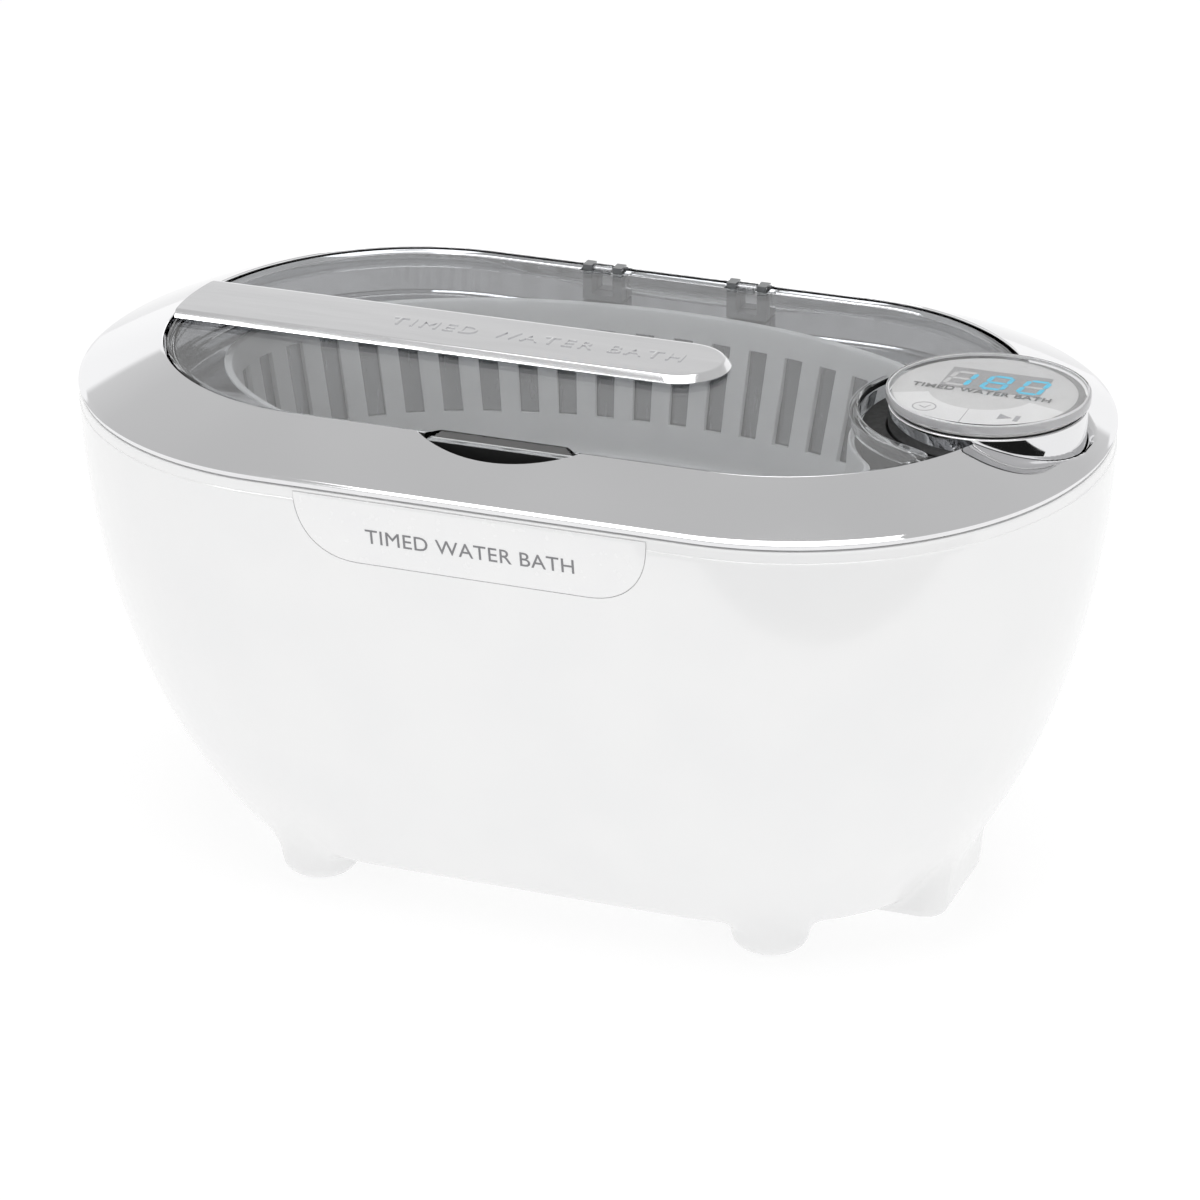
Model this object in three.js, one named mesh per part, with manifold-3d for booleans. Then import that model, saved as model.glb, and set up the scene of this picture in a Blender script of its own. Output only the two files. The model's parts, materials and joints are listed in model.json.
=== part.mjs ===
// Bench-top ultrasonic cleaner for jewellery: a white boat-shaped housing on four feet, a chrome bezel,
// a smoky hinged lid, a slotted basket in a steel tank, and a round display head at the right-hand end.
// Millimetres. +X is right (the display end), -Y is the front, +Z is up, z = 0 is the bench.
import * as THREE from "three";
import { mergeVertices } from "three/addons/utils/BufferGeometryUtils.js";
import Module from "manifold-3d";

const wasm = await Module();
wasm.setup();

// ---- driving dimensions ----
// An outline seen from above is two half ellipses joined by straight sides:
// a = half length, b = half width, e = how far each end's curve reaches along X.
const SEAM = { a: 115, b: 73.2, e: 67 }; // where the housing meets the bezel
const CREST = { a: 96.4, b: 55.3, e: 50.8 }; // edge of the opening that the lid sits in
const BASE = { a: 82.2, b: 41.5, e: 47 }; // underside of the housing
const SEAM_Z = 109.8;
const CREST_Z = 119.1;
const BASE_Z = 7.6;
const GAP = 0.3; // between neighbouring pieces
const WALL = 2.6;
const ARC_POINTS = 19; // points on each end of an outline

const FOOT = { x: 53.1, y: 31.5, bottom: 7.3, top: 9.5, rim: 0.6 };
const PAD = { radius: 4.9, height: 2.1 };
const PLATE = { length: 86, width: 64, corner: 7, thick: 2.3, ledge: 4, ledgeThick: 2.2 };
const PLATE_SCREW = { x: 37.5, y: 26.5 };
const BOSS = { start: 58, end: 87, half: 16.8, corner: 5, bottom: 4.5, top: 24, draft: 1.8, wall: 1.7 };
const INLET = { x: 30, z: 30, face: 50.2, halfWidth: 8, halfHeight: 3.9 };
const SOCKET = { depth: 20, well: 11, pin: 6.8 }; // behind the inlet's face

const LABEL = { half: 39, top: 0.8, bottom: 15.9 }; // top and bottom below the seam

const LEDGE_Z = 109.7; // the basket's rim rests here
const LEDGE_THICK = 1.1;
const OPENING = oval(83.2, 50.3);
const FRAME_Z = 103;
const FRAME_THICK = 2.9;
const FRAME_SCREW = { x: 88, y: 44 };
const NOTCH = { radius: 30.7, y: -30, floor: 112.4, wall: 1.8 };

const FLANGE_Z = 106.2;
const SHEET = 0.8; // tank sheet, with its coating
const TANK_FLOOR_Z = 50.4;

const BASKET = { floor: 75, thick: 2, rim: 110, top: 111.8, wall: 1.4 };
const SLOT = { width: 4.8, low: 84.3, high: 104.3, pitch: 8.9 };

const LID = { top: 118.4, thick: 1.8, lip: 115, bottom: 113, skirt: 1.4, clear: 0.7 };
const HINGE = { x: 17.3, y: 53.3, z: 118.3, knuckle: 1.2, pin: 0.5, halfWidth: 2.2, ear: 2.2 };
const STRIP = { right: 31.2, half: 11.4, bevel: 1.2, bottom: 118.7, top: 120.5 };

const HEAD = { x: 89.2, cup: 21.1, lens: 21.7, floor: 109, cupTop: 119.6, top: 123.1 };
const COLLAR = { radius: 26.6, top: 114.6 }; // raised seat round the display head
const BITE = 27.3; // the lid's hollow round the head
const BASKET_BITE = 29.4;

const STACK = { top: 49, radius: 17.5, horn: 22.5 };
const BOARD = { z: 15.6, thick: 1.6, length: 70, width: 44 };

const FINISH = {
  gloss_white: { color: 0xf1f1f1, roughness: 0.25, metalness: 0 },
  label_white: { color: 0xe3e4e4, roughness: 0.35, metalness: 0 },
  chrome: { color: 0xd0d1d3, roughness: 0.1, metalness: 1 },
  satin_strip: { color: 0xc8c9cb, roughness: 0.3, metalness: 1 },
  smoke_clear: { color: 0x9a9da0, roughness: 0.05, metalness: 0, transparent: true, opacity: 0.4 },
  hinge_grey: { color: 0x6f7174, roughness: 0.15, metalness: 0 },
  clear: { color: 0xe8ecee, roughness: 0.03, metalness: 0, transparent: true, opacity: 0.35 },
  basket_white: { color: 0xdedfe0, roughness: 0.45, metalness: 0 },
  steel: { color: 0xb5b8bb, roughness: 0.2, metalness: 1 },
  silicone: { color: 0xa9acae, roughness: 0.8, metalness: 0 },
  face_print: { color: 0xd5d7d7, roughness: 0.4, metalness: 0 },
  black_plastic: { color: 0x1c1c1e, roughness: 0.5, metalness: 0 },
  aluminium: { color: 0xb9bcc0, roughness: 0.4, metalness: 1 },
  ceramic: { color: 0x6e6558, roughness: 0.6, metalness: 0 },
  copper: { color: 0xb87346, roughness: 0.35, metalness: 1 },
  board_green: { color: 0x1f6a3c, roughness: 0.5, metalness: 0 },
  component: { color: 0x2a2c30, roughness: 0.5, metalness: 0 },
  led_grey: { color: 0x8f9599, roughness: 0.4, metalness: 0 },
  wire: { color: 0x8c2f2a, roughness: 0.55, metalness: 0 },
};

// ---- outlines and rings ----
function oval(a, b) {
  return { a, b, e: a - 0.5 };
}

function grown({ a, b, e }, d) {
  return { a: a + d, b: b + d, e: e + d };
}

function between(from, to, share) {
  const mix = (key) => from[key] + (to[key] - from[key]) * share;
  return { a: mix("a"), b: mix("b"), e: mix("e") };
}

function ring({ a, b, e }, z) {
  const points = [];
  for (const side of [1, -1])
    for (let i = 0; i < ARC_POINTS; i++) {
      const t = Math.PI * (i / (ARC_POINTS - 1) - 0.5);
      points.push([side * (a - e + e * Math.cos(t)), side * b * Math.sin(t), z]);
    }
  return points;
}

// The housing's outline at height z: its sides curve in faster towards the base.
function bodyOutline(z, grow = 0) {
  const u = (SEAM_Z - z) / (SEAM_Z - BASE_Z);
  const lengthShare = 0.83 * u ** 2 + 0.17 * u ** 5;
  const widthShare = 0.5 * u + 0.36 * u ** 2 + 0.14 * u ** 5;
  const outline = {
    a: SEAM.a + (BASE.a - SEAM.a) * lengthShare,
    b: SEAM.b + (BASE.b - SEAM.b) * widthShare,
    e: SEAM.e + (BASE.e - SEAM.e) * u,
  };
  return grown(outline, grow);
}

// ---- solids ----
// Rings run up the outside and down the inside; open ends are closed flat, or the last ring joins the first.
function loft(rings, looped = false) {
  const n = rings[0].length;
  const positions = rings.flat(2);
  const index = [];
  const pairs = looped ? rings.length : rings.length - 1;
  for (let i = 0; i < pairs; i++)
    for (let j = 0; j < n; j++) {
      const [low, high] = [i * n, ((i + 1) % rings.length) * n];
      const next = (j + 1) % n;
      index.push(low + j, low + next, high + next, low + j, high + next, high + j);
    }
  if (!looped)
    for (const [k, turn] of [[0, -1], [rings.length - 1, 1]]) {
      const centre = positions.length / 3;
      const middle = [0, 1].map((axis) => rings[k].reduce((sum, p) => sum + p[axis], 0) / n);
      positions.push(middle[0], middle[1], rings[k][0][2]);
      for (let j = 0; j < n; j++) {
        const edge = [k * n + j, k * n + ((j + 1) % n)];
        index.push(centre, ...(turn > 0 ? edge : edge.reverse()));
      }
    }
  const geometry = new THREE.BufferGeometry();
  geometry.setAttribute("position", new THREE.Float32BufferAttribute(positions, 3));
  return solid(geometry.setIndex(index));
}

function solid(geometry) {
  const bare = geometry.clone();
  bare.deleteAttribute("normal");
  bare.deleteAttribute("uv");
  const merged = mergeVertices(bare, 1e-4);
  return new wasm.Manifold(
    new wasm.Mesh({
      numProp: 3,
      vertProperties: merged.attributes.position.array,
      triVerts: new Uint32Array(merged.index.array),
    }),
  );
}

function box(x0, x1, y0, y1, z0, z1) {
  const geometry = new THREE.BoxGeometry(x1 - x0, y1 - y0, z1 - z0);
  return solid(geometry.translate((x0 + x1) / 2, (y0 + y1) / 2, (z0 + z1) / 2));
}

function rod(radius, z0, z1, x = 0, y = 0, segments = 20, topRadius = radius) {
  const geometry = new THREE.CylinderGeometry(topRadius, radius, z1 - z0, segments);
  return solid(geometry.rotateX(Math.PI / 2).translate(x, y, (z0 + z1) / 2));
}

function rodAlongX(radius, x0, x1, y, z, segments = 12) {
  const geometry = new THREE.CylinderGeometry(radius, radius, x1 - x0, segments);
  return solid(geometry.rotateZ(Math.PI / 2).translate((x0 + x1) / 2, y, z));
}

function rodAlongY(radius, y0, y1, x, z, segments) {
  const geometry = new THREE.CylinderGeometry(radius, radius, y1 - y0, segments);
  return solid(geometry.translate(x, (y0 + y1) / 2, z));
}

function turned(profile, x, y, segments = 48) {
  const points = profile.map(([r, z]) => new THREE.Vector2(r, z));
  const geometry = new THREE.LatheGeometry([...points, points[0]], segments);
  return solid(geometry.rotateX(Math.PI / 2).translate(x, y, 0));
}

function roundedShape(length, width, corner) {
  const [x, y] = [length / 2 - corner, width / 2 - corner];
  const shape = new THREE.Shape();
  const corners = [[x, -y, -0.5], [x, y, 0], [-x, y, 0.5], [-x, -y, 1]];
  for (const [cx, cy, turn] of corners)
    shape.absarc(cx, cy, corner, turn * Math.PI, (turn + 0.5) * Math.PI);
  return shape;
}

function prism(shape, z0, z1, curveSegments = 2) {
  const geometry = new THREE.ExtrudeGeometry(shape, { depth: z1 - z0, bevelEnabled: false, curveSegments });
  return solid(geometry.translate(0, 0, z0));
}

function wire(points, radius) {
  const path = new THREE.CatmullRomCurve3(points.map((p) => new THREE.Vector3(...p)));
  const section = new THREE.Shape().absarc(0, 0, radius, 0, 2 * Math.PI);
  const steps = 3 * points.length;
  return solid(new THREE.ExtrudeGeometry(section, { extrudePath: path, steps, curveSegments: 3 }));
}

function join(first, ...rest) {
  return rest.reduce((sum, piece) => sum.add(piece), first);
}

const group = new THREE.Group();
group.name = "ultrasonic_cleaner";
const materials = Object.fromEntries(
  Object.entries(FINISH).map(([name, look]) => [name, new THREE.MeshStandardMaterial({ name, ...look })]),
);

function place(name, finish, piece) {
  const { vertProperties, triVerts, numProp } = piece.getMesh();
  const geometry = new THREE.BufferGeometry();
  const buffer = new THREE.InterleavedBuffer(new Float32Array(vertProperties), numProp);
  geometry.setAttribute("position", new THREE.InterleavedBufferAttribute(buffer, 3, 0));
  geometry.setIndex(new THREE.BufferAttribute(new Uint32Array(triVerts), 1));
  const flat = geometry.toNonIndexed();
  flat.computeVertexNormals();
  const mesh = new THREE.Mesh(flat, materials[finish]);
  mesh.name = name;
  group.add(mesh);
}

// The four corners of a rectangle about the Z axis, with the words that name them.
function corners({ x, y }) {
  return [
    ["front_left", -x, -y],
    ["front_right", x, -y],
    ["rear_left", -x, y],
    ["rear_right", x, y],
  ];
}

// ---- housing, with its feet, the boss under the display end and the inlet collar in the rear wall ----
// Solid block inside the housing's outer skin, grown by a distance, with a rounded bottom edge.
const SKIN_LEVELS = [0, 0.02, 0.06, 0.14, 0.26, 0.42, 0.6, 0.8, 1];
const CAVITY_LEVELS = [0, 0.06, 0.22, 0.45, 0.72, 1];

function bodyBlock(grow, lowZ, highZ, edge, levels = SKIN_LEVELS) {
  return loft(
    levels.map((share) => {
      const z = lowZ + (highZ - lowZ) * share;
      const rounding = edge * Math.max(0, 1 - share / 0.06) ** 2;
      return ring(bodyOutline(z, grow - rounding), z);
    }),
  );
}

function bossRing(inset, z) {
  const end = BOSS.end - inset + (BOSS.draft * (z - BOSS.bottom)) / (BOSS.top - BOSS.bottom);
  const half = BOSS.half - inset;
  const shape = roundedShape(end - BOSS.start, 2 * half, BOSS.corner - inset / 2);
  return shape.getPoints(3).map((p) => [p.x + (end + BOSS.start) / 2, p.y, z]);
}

function bossBlock(inset, lowZ) {
  return loft([bossRing(inset + 0.8, lowZ), bossRing(inset, lowZ + 0.8), bossRing(inset, BOSS.top)]);
}

function inletShape(grow) {
  const reach = INLET.halfWidth - INLET.halfHeight;
  const shape = new THREE.Shape();
  shape.absarc(reach, 0, INLET.halfHeight + grow, -Math.PI / 2, Math.PI / 2);
  shape.absarc(-reach, 0, INLET.halfHeight + grow, Math.PI / 2, (3 * Math.PI) / 2);
  return shape;
}

// An inlet section pushed along Y: its width lies along X and its height along Z.
function alongY(shape, y0, y1) {
  const settings = { depth: y1 - y0, bevelEnabled: false, curveSegments: 5 };
  const geometry = new THREE.ExtrudeGeometry(shape, settings);
  return solid(geometry.rotateX(Math.PI / 2).translate(INLET.x, y1, INLET.z));
}

// The nameplate's outline in the XZ plane, grown by a distance, and pushed back through the front wall.
function labelBlock(grow) {
  const [half, high, low] = [LABEL.half + grow, SEAM_Z - LABEL.top + grow, SEAM_Z - LABEL.bottom - grow];
  const shape = new THREE.Shape();
  shape.moveTo(-half, high);
  shape.bezierCurveTo(-half + 0.5, low + 5, -half + 4, low, -half + 14, low);
  shape.lineTo(half - 14, low);
  shape.bezierCurveTo(half - 4, low, half - 0.5, low + 5, half, high);
  const geometry = new THREE.ExtrudeGeometry(shape, { depth: 20, bevelEnabled: false, curveSegments: 8 });
  return solid(geometry.rotateX(Math.PI / 2).translate(0, 12 - SEAM.b, 0));
}

function lowerHousing() {
  const outside = bodyBlock(0, BASE_Z, SEAM_Z, 2.6);
  const inside = bodyBlock(-WALL, BASE_Z + WALL, SEAM_Z + 1, 0, CAVITY_LEVELS);
  const feet = corners(FOOT).map(([, x, y]) =>
    rod(FOOT.bottom, FOOT.rim, BASE_Z + WALL - 0.2, x, y, 20, FOOT.top),
  );
  const recesses = corners(FOOT).map(([, x, y]) =>
    rod(PAD.radius + GAP, 0, PAD.height + GAP, x, y),
  );
  const ledgeTop = BASE_Z + PLATE.thick + GAP + PLATE.ledgeThick;
  const ledge = box(-48, 48, -36, 36, BASE_Z + WALL - 0.4, ledgeTop);
  const hole = prism(
    roundedShape(PLATE.length - 2 * PLATE.ledge, PLATE.width - 2 * PLATE.ledge, 4),
    BASE_Z - 1,
    ledgeTop + 1,
  );
  const recess = prism(
    roundedShape(PLATE.length + 2 * GAP, PLATE.width + 2 * GAP, PLATE.corner),
    BASE_Z - 1,
    BASE_Z + PLATE.thick + GAP,
  );
  const posts = corners(PLATE_SCREW).map(([, x, y]) =>
    rod(3.6, BASE_Z + PLATE.thick + GAP, 18, x, y, 16),
  );
  const pilots = corners(PLATE_SCREW).map(([, x, y]) => rod(1.65, BASE_Z, 17, x, y, 12));
  const collar = alongY(inletShape(GAP + 1.6), INLET.face - 12, INLET.face + 8).intersect(outside);
  const shell = join(outside, ...feet, bossBlock(0, BOSS.bottom))
    .subtract(join(inside, bossBlock(BOSS.wall, BOSS.bottom + BOSS.wall), ...recesses))
    .add(ledge.add(collar))
    .subtract(hole.add(recess));
  const labelRecess = labelBlock(GAP).subtract(bodyBlock(-0.7, BASE_Z, SEAM_Z + 1, 0));
  return join(shell, ...posts)
    .subtract(join(pilots[0], ...pilots.slice(1)))
    .subtract(alongY(inletShape(GAP), INLET.face - 14, INLET.face + 8))
    .subtract(labelRecess);
}

place("lower_housing", "gloss_white", lowerHousing());
place(
  "nameplate",
  "label_white",
  labelBlock(0)
    .intersect(bodyBlock(0.05, BASE_Z, SEAM_Z, 0))
    .subtract(bodyBlock(-0.4, BASE_Z, SEAM_Z + 1, 0)),
);

for (const [corner, x, y] of corners(FOOT))
  place("foot_pad_" + corner, "silicone", rod(PAD.radius, 0, PAD.height, x, y));

// ---- base plate with vents and board posts ----
function pan(headRadius, headZ, headHeight, shankTop, x, y) {
  return rod(headRadius, headZ, headZ + headHeight, x, y, 12).add(rod(1.35, headZ, shankTop, x, y, 8));
}

const BOARD_POST = { x: 31, y: 18 };

function basePlate() {
  const top = BASE_Z + PLATE.thick;
  const plate = prism(roundedShape(PLATE.length, PLATE.width, PLATE.corner), BASE_Z, top);
  const posts = corners(BOARD_POST).map(([, x, y]) => rod(3, top - 0.2, BOARD.z - GAP, x, y, 12));
  const vents = [-2, -1, 0, 1, 2].map((i) => box(-20, 20, 6 * i - 1.2, 6 * i + 1.2, BASE_Z - 1, top + 1));
  const holes = corners(PLATE_SCREW).flatMap(([, x, y]) => [
    rod(1.75, BASE_Z - 1, top + 1, x, y, 12),
    rod(3, BASE_Z - 1, BASE_Z + 1.2, x, y, 12),
  ]);
  const pilots = corners(BOARD_POST).map(([, x, y]) => rod(1.65, top + 0.5, BOARD.z, x, y, 10));
  return join(plate, ...posts).subtract(join(vents[0], ...vents.slice(1), ...holes, ...pilots));
}

place("base_plate", "gloss_white", basePlate());
for (const [corner, x, y] of corners(PLATE_SCREW)) {
  const flat = BASE_Z + 0.1;
  place("base_screw_" + corner, "steel", pan(2.6, flat, 0.8, 16, x, y));
}

// ---- power inlet: a two-pin socket in the collar at the back ----
function powerInlet() {
  const { x: middle, z, face } = INLET;
  const body = alongY(inletShape(0), face - SOCKET.depth, face);
  const sides = [middle - 4, middle + 4];
  const wells = sides.map((x) => rodAlongY(3.1, face - SOCKET.well, face + 1, x, z, 16));
  const pins = sides.map((x) => rodAlongY(1.15, face - SOCKET.well - 1, face - SOCKET.pin, x, z, 10));
  return join(body.subtract(join(...wells)), ...pins);
}

place("power_inlet", "black_plastic", powerInlet());

// ---- chrome bezel: a sloping ring with a ledge inside, a finger notch and a collar for the head ----
const BEZEL_LIP = 1.2;

function bezelOuterRings() {
  const low = SEAM_Z + GAP + BEZEL_LIP;
  const shares = [0, 0.3, 0.65, 0.97];
  return [
    ring(SEAM, SEAM_Z + GAP),
    ...shares.map((s) => {
      const crown = 1.2 * s * (1 - s);
      return ring(between(SEAM, CREST, s), low + (CREST_Z - low) * s + crown);
    }),
  ];
}

function topBezel() {
  const outer = bezelOuterRings();
  const ledgeLow = LEDGE_Z - LEDGE_THICK;
  const shell = loft(
    [
      ...outer,
      ring(CREST, CREST_Z - 0.3),
      ring(CREST, LEDGE_Z),
      ring(OPENING, LEDGE_Z),
      ring(OPENING, ledgeLow),
      ring(grown(CREST, 2), ledgeLow),
      ring(grown(CREST, 2.2), CREST_Z - 3.6),
      ring(grown(SEAM, -2.2), SEAM_Z + GAP + 0.4),
      ring(grown(SEAM, -1.8), SEAM_Z + GAP),
    ],
    true,
  );
  const full = loft(outer);
  const well = loft([ring(CREST, LEDGE_Z), ring(CREST, CREST_Z + 5)]);
  const pocket = rod(NOTCH.radius + NOTCH.wall, NOTCH.floor - NOTCH.wall, CREST_Z, 0, NOTCH.y, 48)
    .intersect(full)
    .subtract(well);
  const bosses = corners(FRAME_SCREW).map(([, x, y]) => rod(3.4, FLANGE_Z + 0.1, 114, x, y, 16));
  const pilots = corners(FRAME_SCREW).map(([, x, y]) => rod(1.65, FLANGE_Z - 1, 113, x, y, 10));
  const collar = rod(COLLAR.radius, HEAD.floor, COLLAR.top, HEAD.x, 0, 48).intersect(loft([
    ring(grown(CREST, 1.5), HEAD.floor - 1),
    ring(grown(CREST, 1.5), CREST_Z),
  ]));
  return join(shell, pocket, collar, ...bosses)
    .subtract(join(pilots[0], ...pilots.slice(1)))
    .subtract(rod(NOTCH.radius, NOTCH.floor, CREST_Z + 5, 0, NOTCH.y, 48))
    .subtract(rod(HEAD.cup + GAP, HEAD.floor - 3, CREST_Z + 5, HEAD.x, 0, 48));
}

place("top_bezel", "chrome", topBezel());

// ---- inner frame that clamps the tank up against the bezel ----
function topFrame() {
  const [low, high] = [FRAME_Z, FRAME_Z + FRAME_THICK];
  const outer = bodyOutline(FRAME_Z, -WALL - 1.4);
  const inner = oval(87, 54);
  const plate = loft([ring(outer, low), ring(outer, high), ring(inner, high), ring(inner, low)], true);
  const holes = corners(FRAME_SCREW).map(([, x, y]) => rod(1.75, low - 1, high + 1, x, y, 12));
  return plate.subtract(join(holes[0], ...holes.slice(1), rod(4, low - 1, high + 1, 97, 0, 16)));
}

place("top_frame", "black_plastic", topFrame());
for (const [corner, x, y] of corners(FRAME_SCREW))
  place("frame_screw_" + corner, "steel", pan(2.8, FRAME_Z - GAP - 2, 2, 112, x, y));

// ---- tank, its gasket, and the transducer bonded under it ----
function tank() {
  const floor = TANK_FLOOR_Z;
  const wallLow = 57;
  const lowOval = oval(78, 44.8);
  return loft([
    ring(grown(lowOval, SHEET - 7), floor - SHEET),
    ring(grown(lowOval, SHEET - 2), floor + 1.6),
    ring(grown(lowOval, SHEET), wallLow),
    ring(grown(OPENING, SHEET), FLANGE_Z),
    ring(grown(OPENING, 5.4), FLANGE_Z),
    ring(grown(OPENING, 5.4), FLANGE_Z + SHEET),
    ring(OPENING, FLANGE_Z + SHEET),
    ring(lowOval, wallLow),
    ring(grown(lowOval, -2), floor + 2),
    ring(grown(lowOval, -7), floor),
  ]);
}

function ovalBand(inner, outer, low, high) {
  return loft([ring(outer, low), ring(outer, high), ring(inner, high), ring(inner, low)], true);
}

place("tank", "steel", tank());
place(
  "tank_gasket",
  "silicone",
  ovalBand(grown(OPENING, 0.6), grown(OPENING, 4.6), FLANGE_Z + SHEET + GAP, LEDGE_Z - LEDGE_THICK - GAP),
);

const hornTop = STACK.top;
const hornLow = hornTop - 10;
const ringThick = 2.8;
const upperLow = hornLow - GAP - ringThick;
const tabLow = upperLow - GAP - 0.4;
const lowerLow = tabLow - GAP - ringThick;
const massLow = lowerLow - GAP - 7;
const BOLT_HOLE = 4.3;

const hornSide = [[STACK.radius, hornLow], [STACK.horn, hornTop]];

place(
  "transducer_horn",
  "aluminium",
  turned([[BOLT_HOLE, hornLow], ...hornSide, [BOLT_HOLE, hornTop]], 0, 0, 24),
);

function washer(radius, low, high) {
  return turned([[BOLT_HOLE, low], [radius, low], [radius, high], [BOLT_HOLE, high]], 0, 0, 24);
}

place("piezo_ring_upper", "ceramic", washer(STACK.radius, upperLow, upperLow + ringThick));
place("piezo_ring_lower", "ceramic", washer(STACK.radius, lowerLow, lowerLow + ringThick));
place(
  "electrode_tab",
  "copper",
  washer(STACK.radius, tabLow, tabLow + 0.4).add(
    box(STACK.radius - 1, STACK.radius + 6, -2.5, 2.5, tabLow, tabLow + 0.4),
  ),
);
place("transducer_back_mass", "steel", washer(STACK.radius, massLow, massLow + 7));
place(
  "transducer_bolt",
  "steel",
  rod(BOLT_HOLE - 0.5, massLow - GAP - 4, hornTop - 1, 0, 0, 16).add(
    rod(6.5, massLow - GAP - 4, massLow - GAP, 0, 0, 6),
  ),
);

// ---- driver board on the base plate ----
const boardTop = BOARD.z + BOARD.thick;
const partZ = boardTop + GAP;

function powerBoard() {
  const holes = corners(BOARD_POST).map(([, x, y]) => rod(1.75, BOARD.z - 1, boardTop + 1, x, y, 10));
  return prism(roundedShape(BOARD.length, BOARD.width, 1.5), BOARD.z, boardTop).subtract(
    join(holes[0], ...holes.slice(1)),
  );
}

place("power_board", "board_green", powerBoard());
for (const [corner, x, y] of corners(BOARD_POST))
  place("board_screw_" + corner, "steel", pan(2.6, 0, 1.6, 6, x, y).rotate([180, 0, 0])
    .translate([0, 2 * y, boardTop + GAP + 1.6]));

place(
  "board_transformer",
  "component",
  box(21, 34, -8, 8, partZ, partZ + 3).add(box(22.5, 32.5, -6.5, 6.5, partZ + 2, partZ + 14)),
);
place("board_capacitor_main", "component", rod(5.5, partZ, partZ + 14, -26, 8, 20));
place("board_capacitor_film", "copper", box(-31, -21, -8.5, -2, partZ, partZ + 10));
place(
  "board_heat_sink",
  "aluminium",
  join(
    box(-8, 12, 17, 18.5, partZ, partZ + 6.5),
    ...[-8, -3, 2, 7, 10.5].map((x) => box(x, x + 1.5, 14.5, 17.5, partZ, partZ + 6.5)),
  ),
);
place("board_fuse", "steel", rodAlongX(2.4, -12, 8, -17, partZ + 2.6));

// ---- wiring inside the housing ----
place(
  "inlet_lead",
  "wire",
  wire([[30, 29.8, 30], [30, 27, 29.6], [27, 22.5, 26.5], [23, 19.8, 22.5], [22, 19.4, 18.2]], 1.1),
);
place(
  "transducer_lead",
  "wire",
  wire([[24.4, 0, 35.4], [28, 3, 37], [37, 11, 33], [38, 13, 24], [34, 14.5, 18.9]], 0.9),
);
const displayRoute = [[97, 0, 108.2], [97, 0, 97], [96, 0, 75], [90, 4, 45]];
place("display_lead", "wire", wire([...displayRoute, [70, 6, 24], [48, 7, 22], [37.4, 7, 20]], 1.3));

// ---- display head ----
function displayCup() {
  const { cup, floor, cupTop } = HEAD;
  const profile = [[4, floor], [cup, floor], [cup, cupTop], [cup - 1.4, cupTop], [cup - 1.4, floor + 1.5]];
  return turned([...profile, [4, floor + 1.5]], HEAD.x, 0, 40);
}

place("display_cup", "chrome", displayCup());
place(
  "display_board",
  "board_green",
  rod(19.2, 112.6, 114, HEAD.x, 0, 40).subtract(rod(2.4, 112, 115, 97, 0, 10)),
);
place("led_module", "led_grey", box(HEAD.x - 11.5, HEAD.x + 11.5, 1, 13, 114.3, 118.9));
place("face_plate", "face_print", rod(20.4, 119.9, 120.4, HEAD.x, 0, 40));
const lensEdge = [[HEAD.lens - 0.3, 120.7], [HEAD.lens, 121], [HEAD.lens, 122.7], [HEAD.lens - 0.4, 123.1]];
place("display_lens", "clear", turned([[0, 120.7], ...lensEdge, [0, 123.1]], HEAD.x, 0, 40));

// ---- lid, its hinges and the chrome strip along it ----
function hingeXs() {
  return [["left", -HINGE.x], ["right", HINGE.x]];
}

const LID_RIM = grown(CREST, -LID.clear);

function lidShell() {
  const low = LID.top - LID.thick;
  const edge = [ring(LID_RIM, low), ring(LID_RIM, LID.top - 0.4), ring(grown(LID_RIM, -0.4), LID.top)];
  const lip = loft([ring(LID_RIM, LID.lip), ring(LID_RIM, low)]);
  const plate = loft(edge).add(rod(BITE + LID.skirt, LID.lip, low, HEAD.x, 0, 48).intersect(lip));
  const bite = rod(BITE, LID.lip - 1, LID.top + 1, HEAD.x, 0, 48);
  const frontY = HINGE.y - 2.3;
  const cuts = hingeXs().map(([, x]) => box(x - 5, x + 5, frontY, 57, low - 1, LID.top + 1));
  const knuckles = hingeXs().map(([, x]) =>
    rodAlongX(HINGE.knuckle, x - HINGE.halfWidth, x + HINGE.halfWidth, HINGE.y, HINGE.z, 16).add(
      box(x - HINGE.halfWidth, x + HINGE.halfWidth, frontY - 1, HINGE.y, low, LID.top),
    ),
  );
  const holes = hingeXs().map(([, x]) => rodAlongX(HINGE.pin + 0.25, x - 6, x + 6, HINGE.y, HINGE.z, 12));
  return plate
    .subtract(join(bite, ...cuts))
    .add(join(...knuckles))
    .subtract(join(...holes));
}

place("lid_shell", "smoke_clear", lidShell());

// The downturned rim follows the plate's edge, and stops at the hollow and each side of the hinges.
function lidRim() {
  const [low, high] = [LID.bottom, LID.top - LID.thick - GAP];
  return ovalBand(grown(LID_RIM, -LID.skirt), LID_RIM, low, high)
    .subtract(rod(BITE + LID.skirt + GAP, low - 1, high + 1, HEAD.x, 0, 48))
    .subtract(box(-HINGE.x - 5, HINGE.x + 5, 50, 57, low - 1, high + 1));
}

const rearRight = box(0, 120, 0, 60, LID.bottom - 1, LID.top);
place("lid_rim", "smoke_clear", lidRim().subtract(rearRight));
place("lid_rim_rear", "smoke_clear", lidRim().intersect(rearRight));

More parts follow.
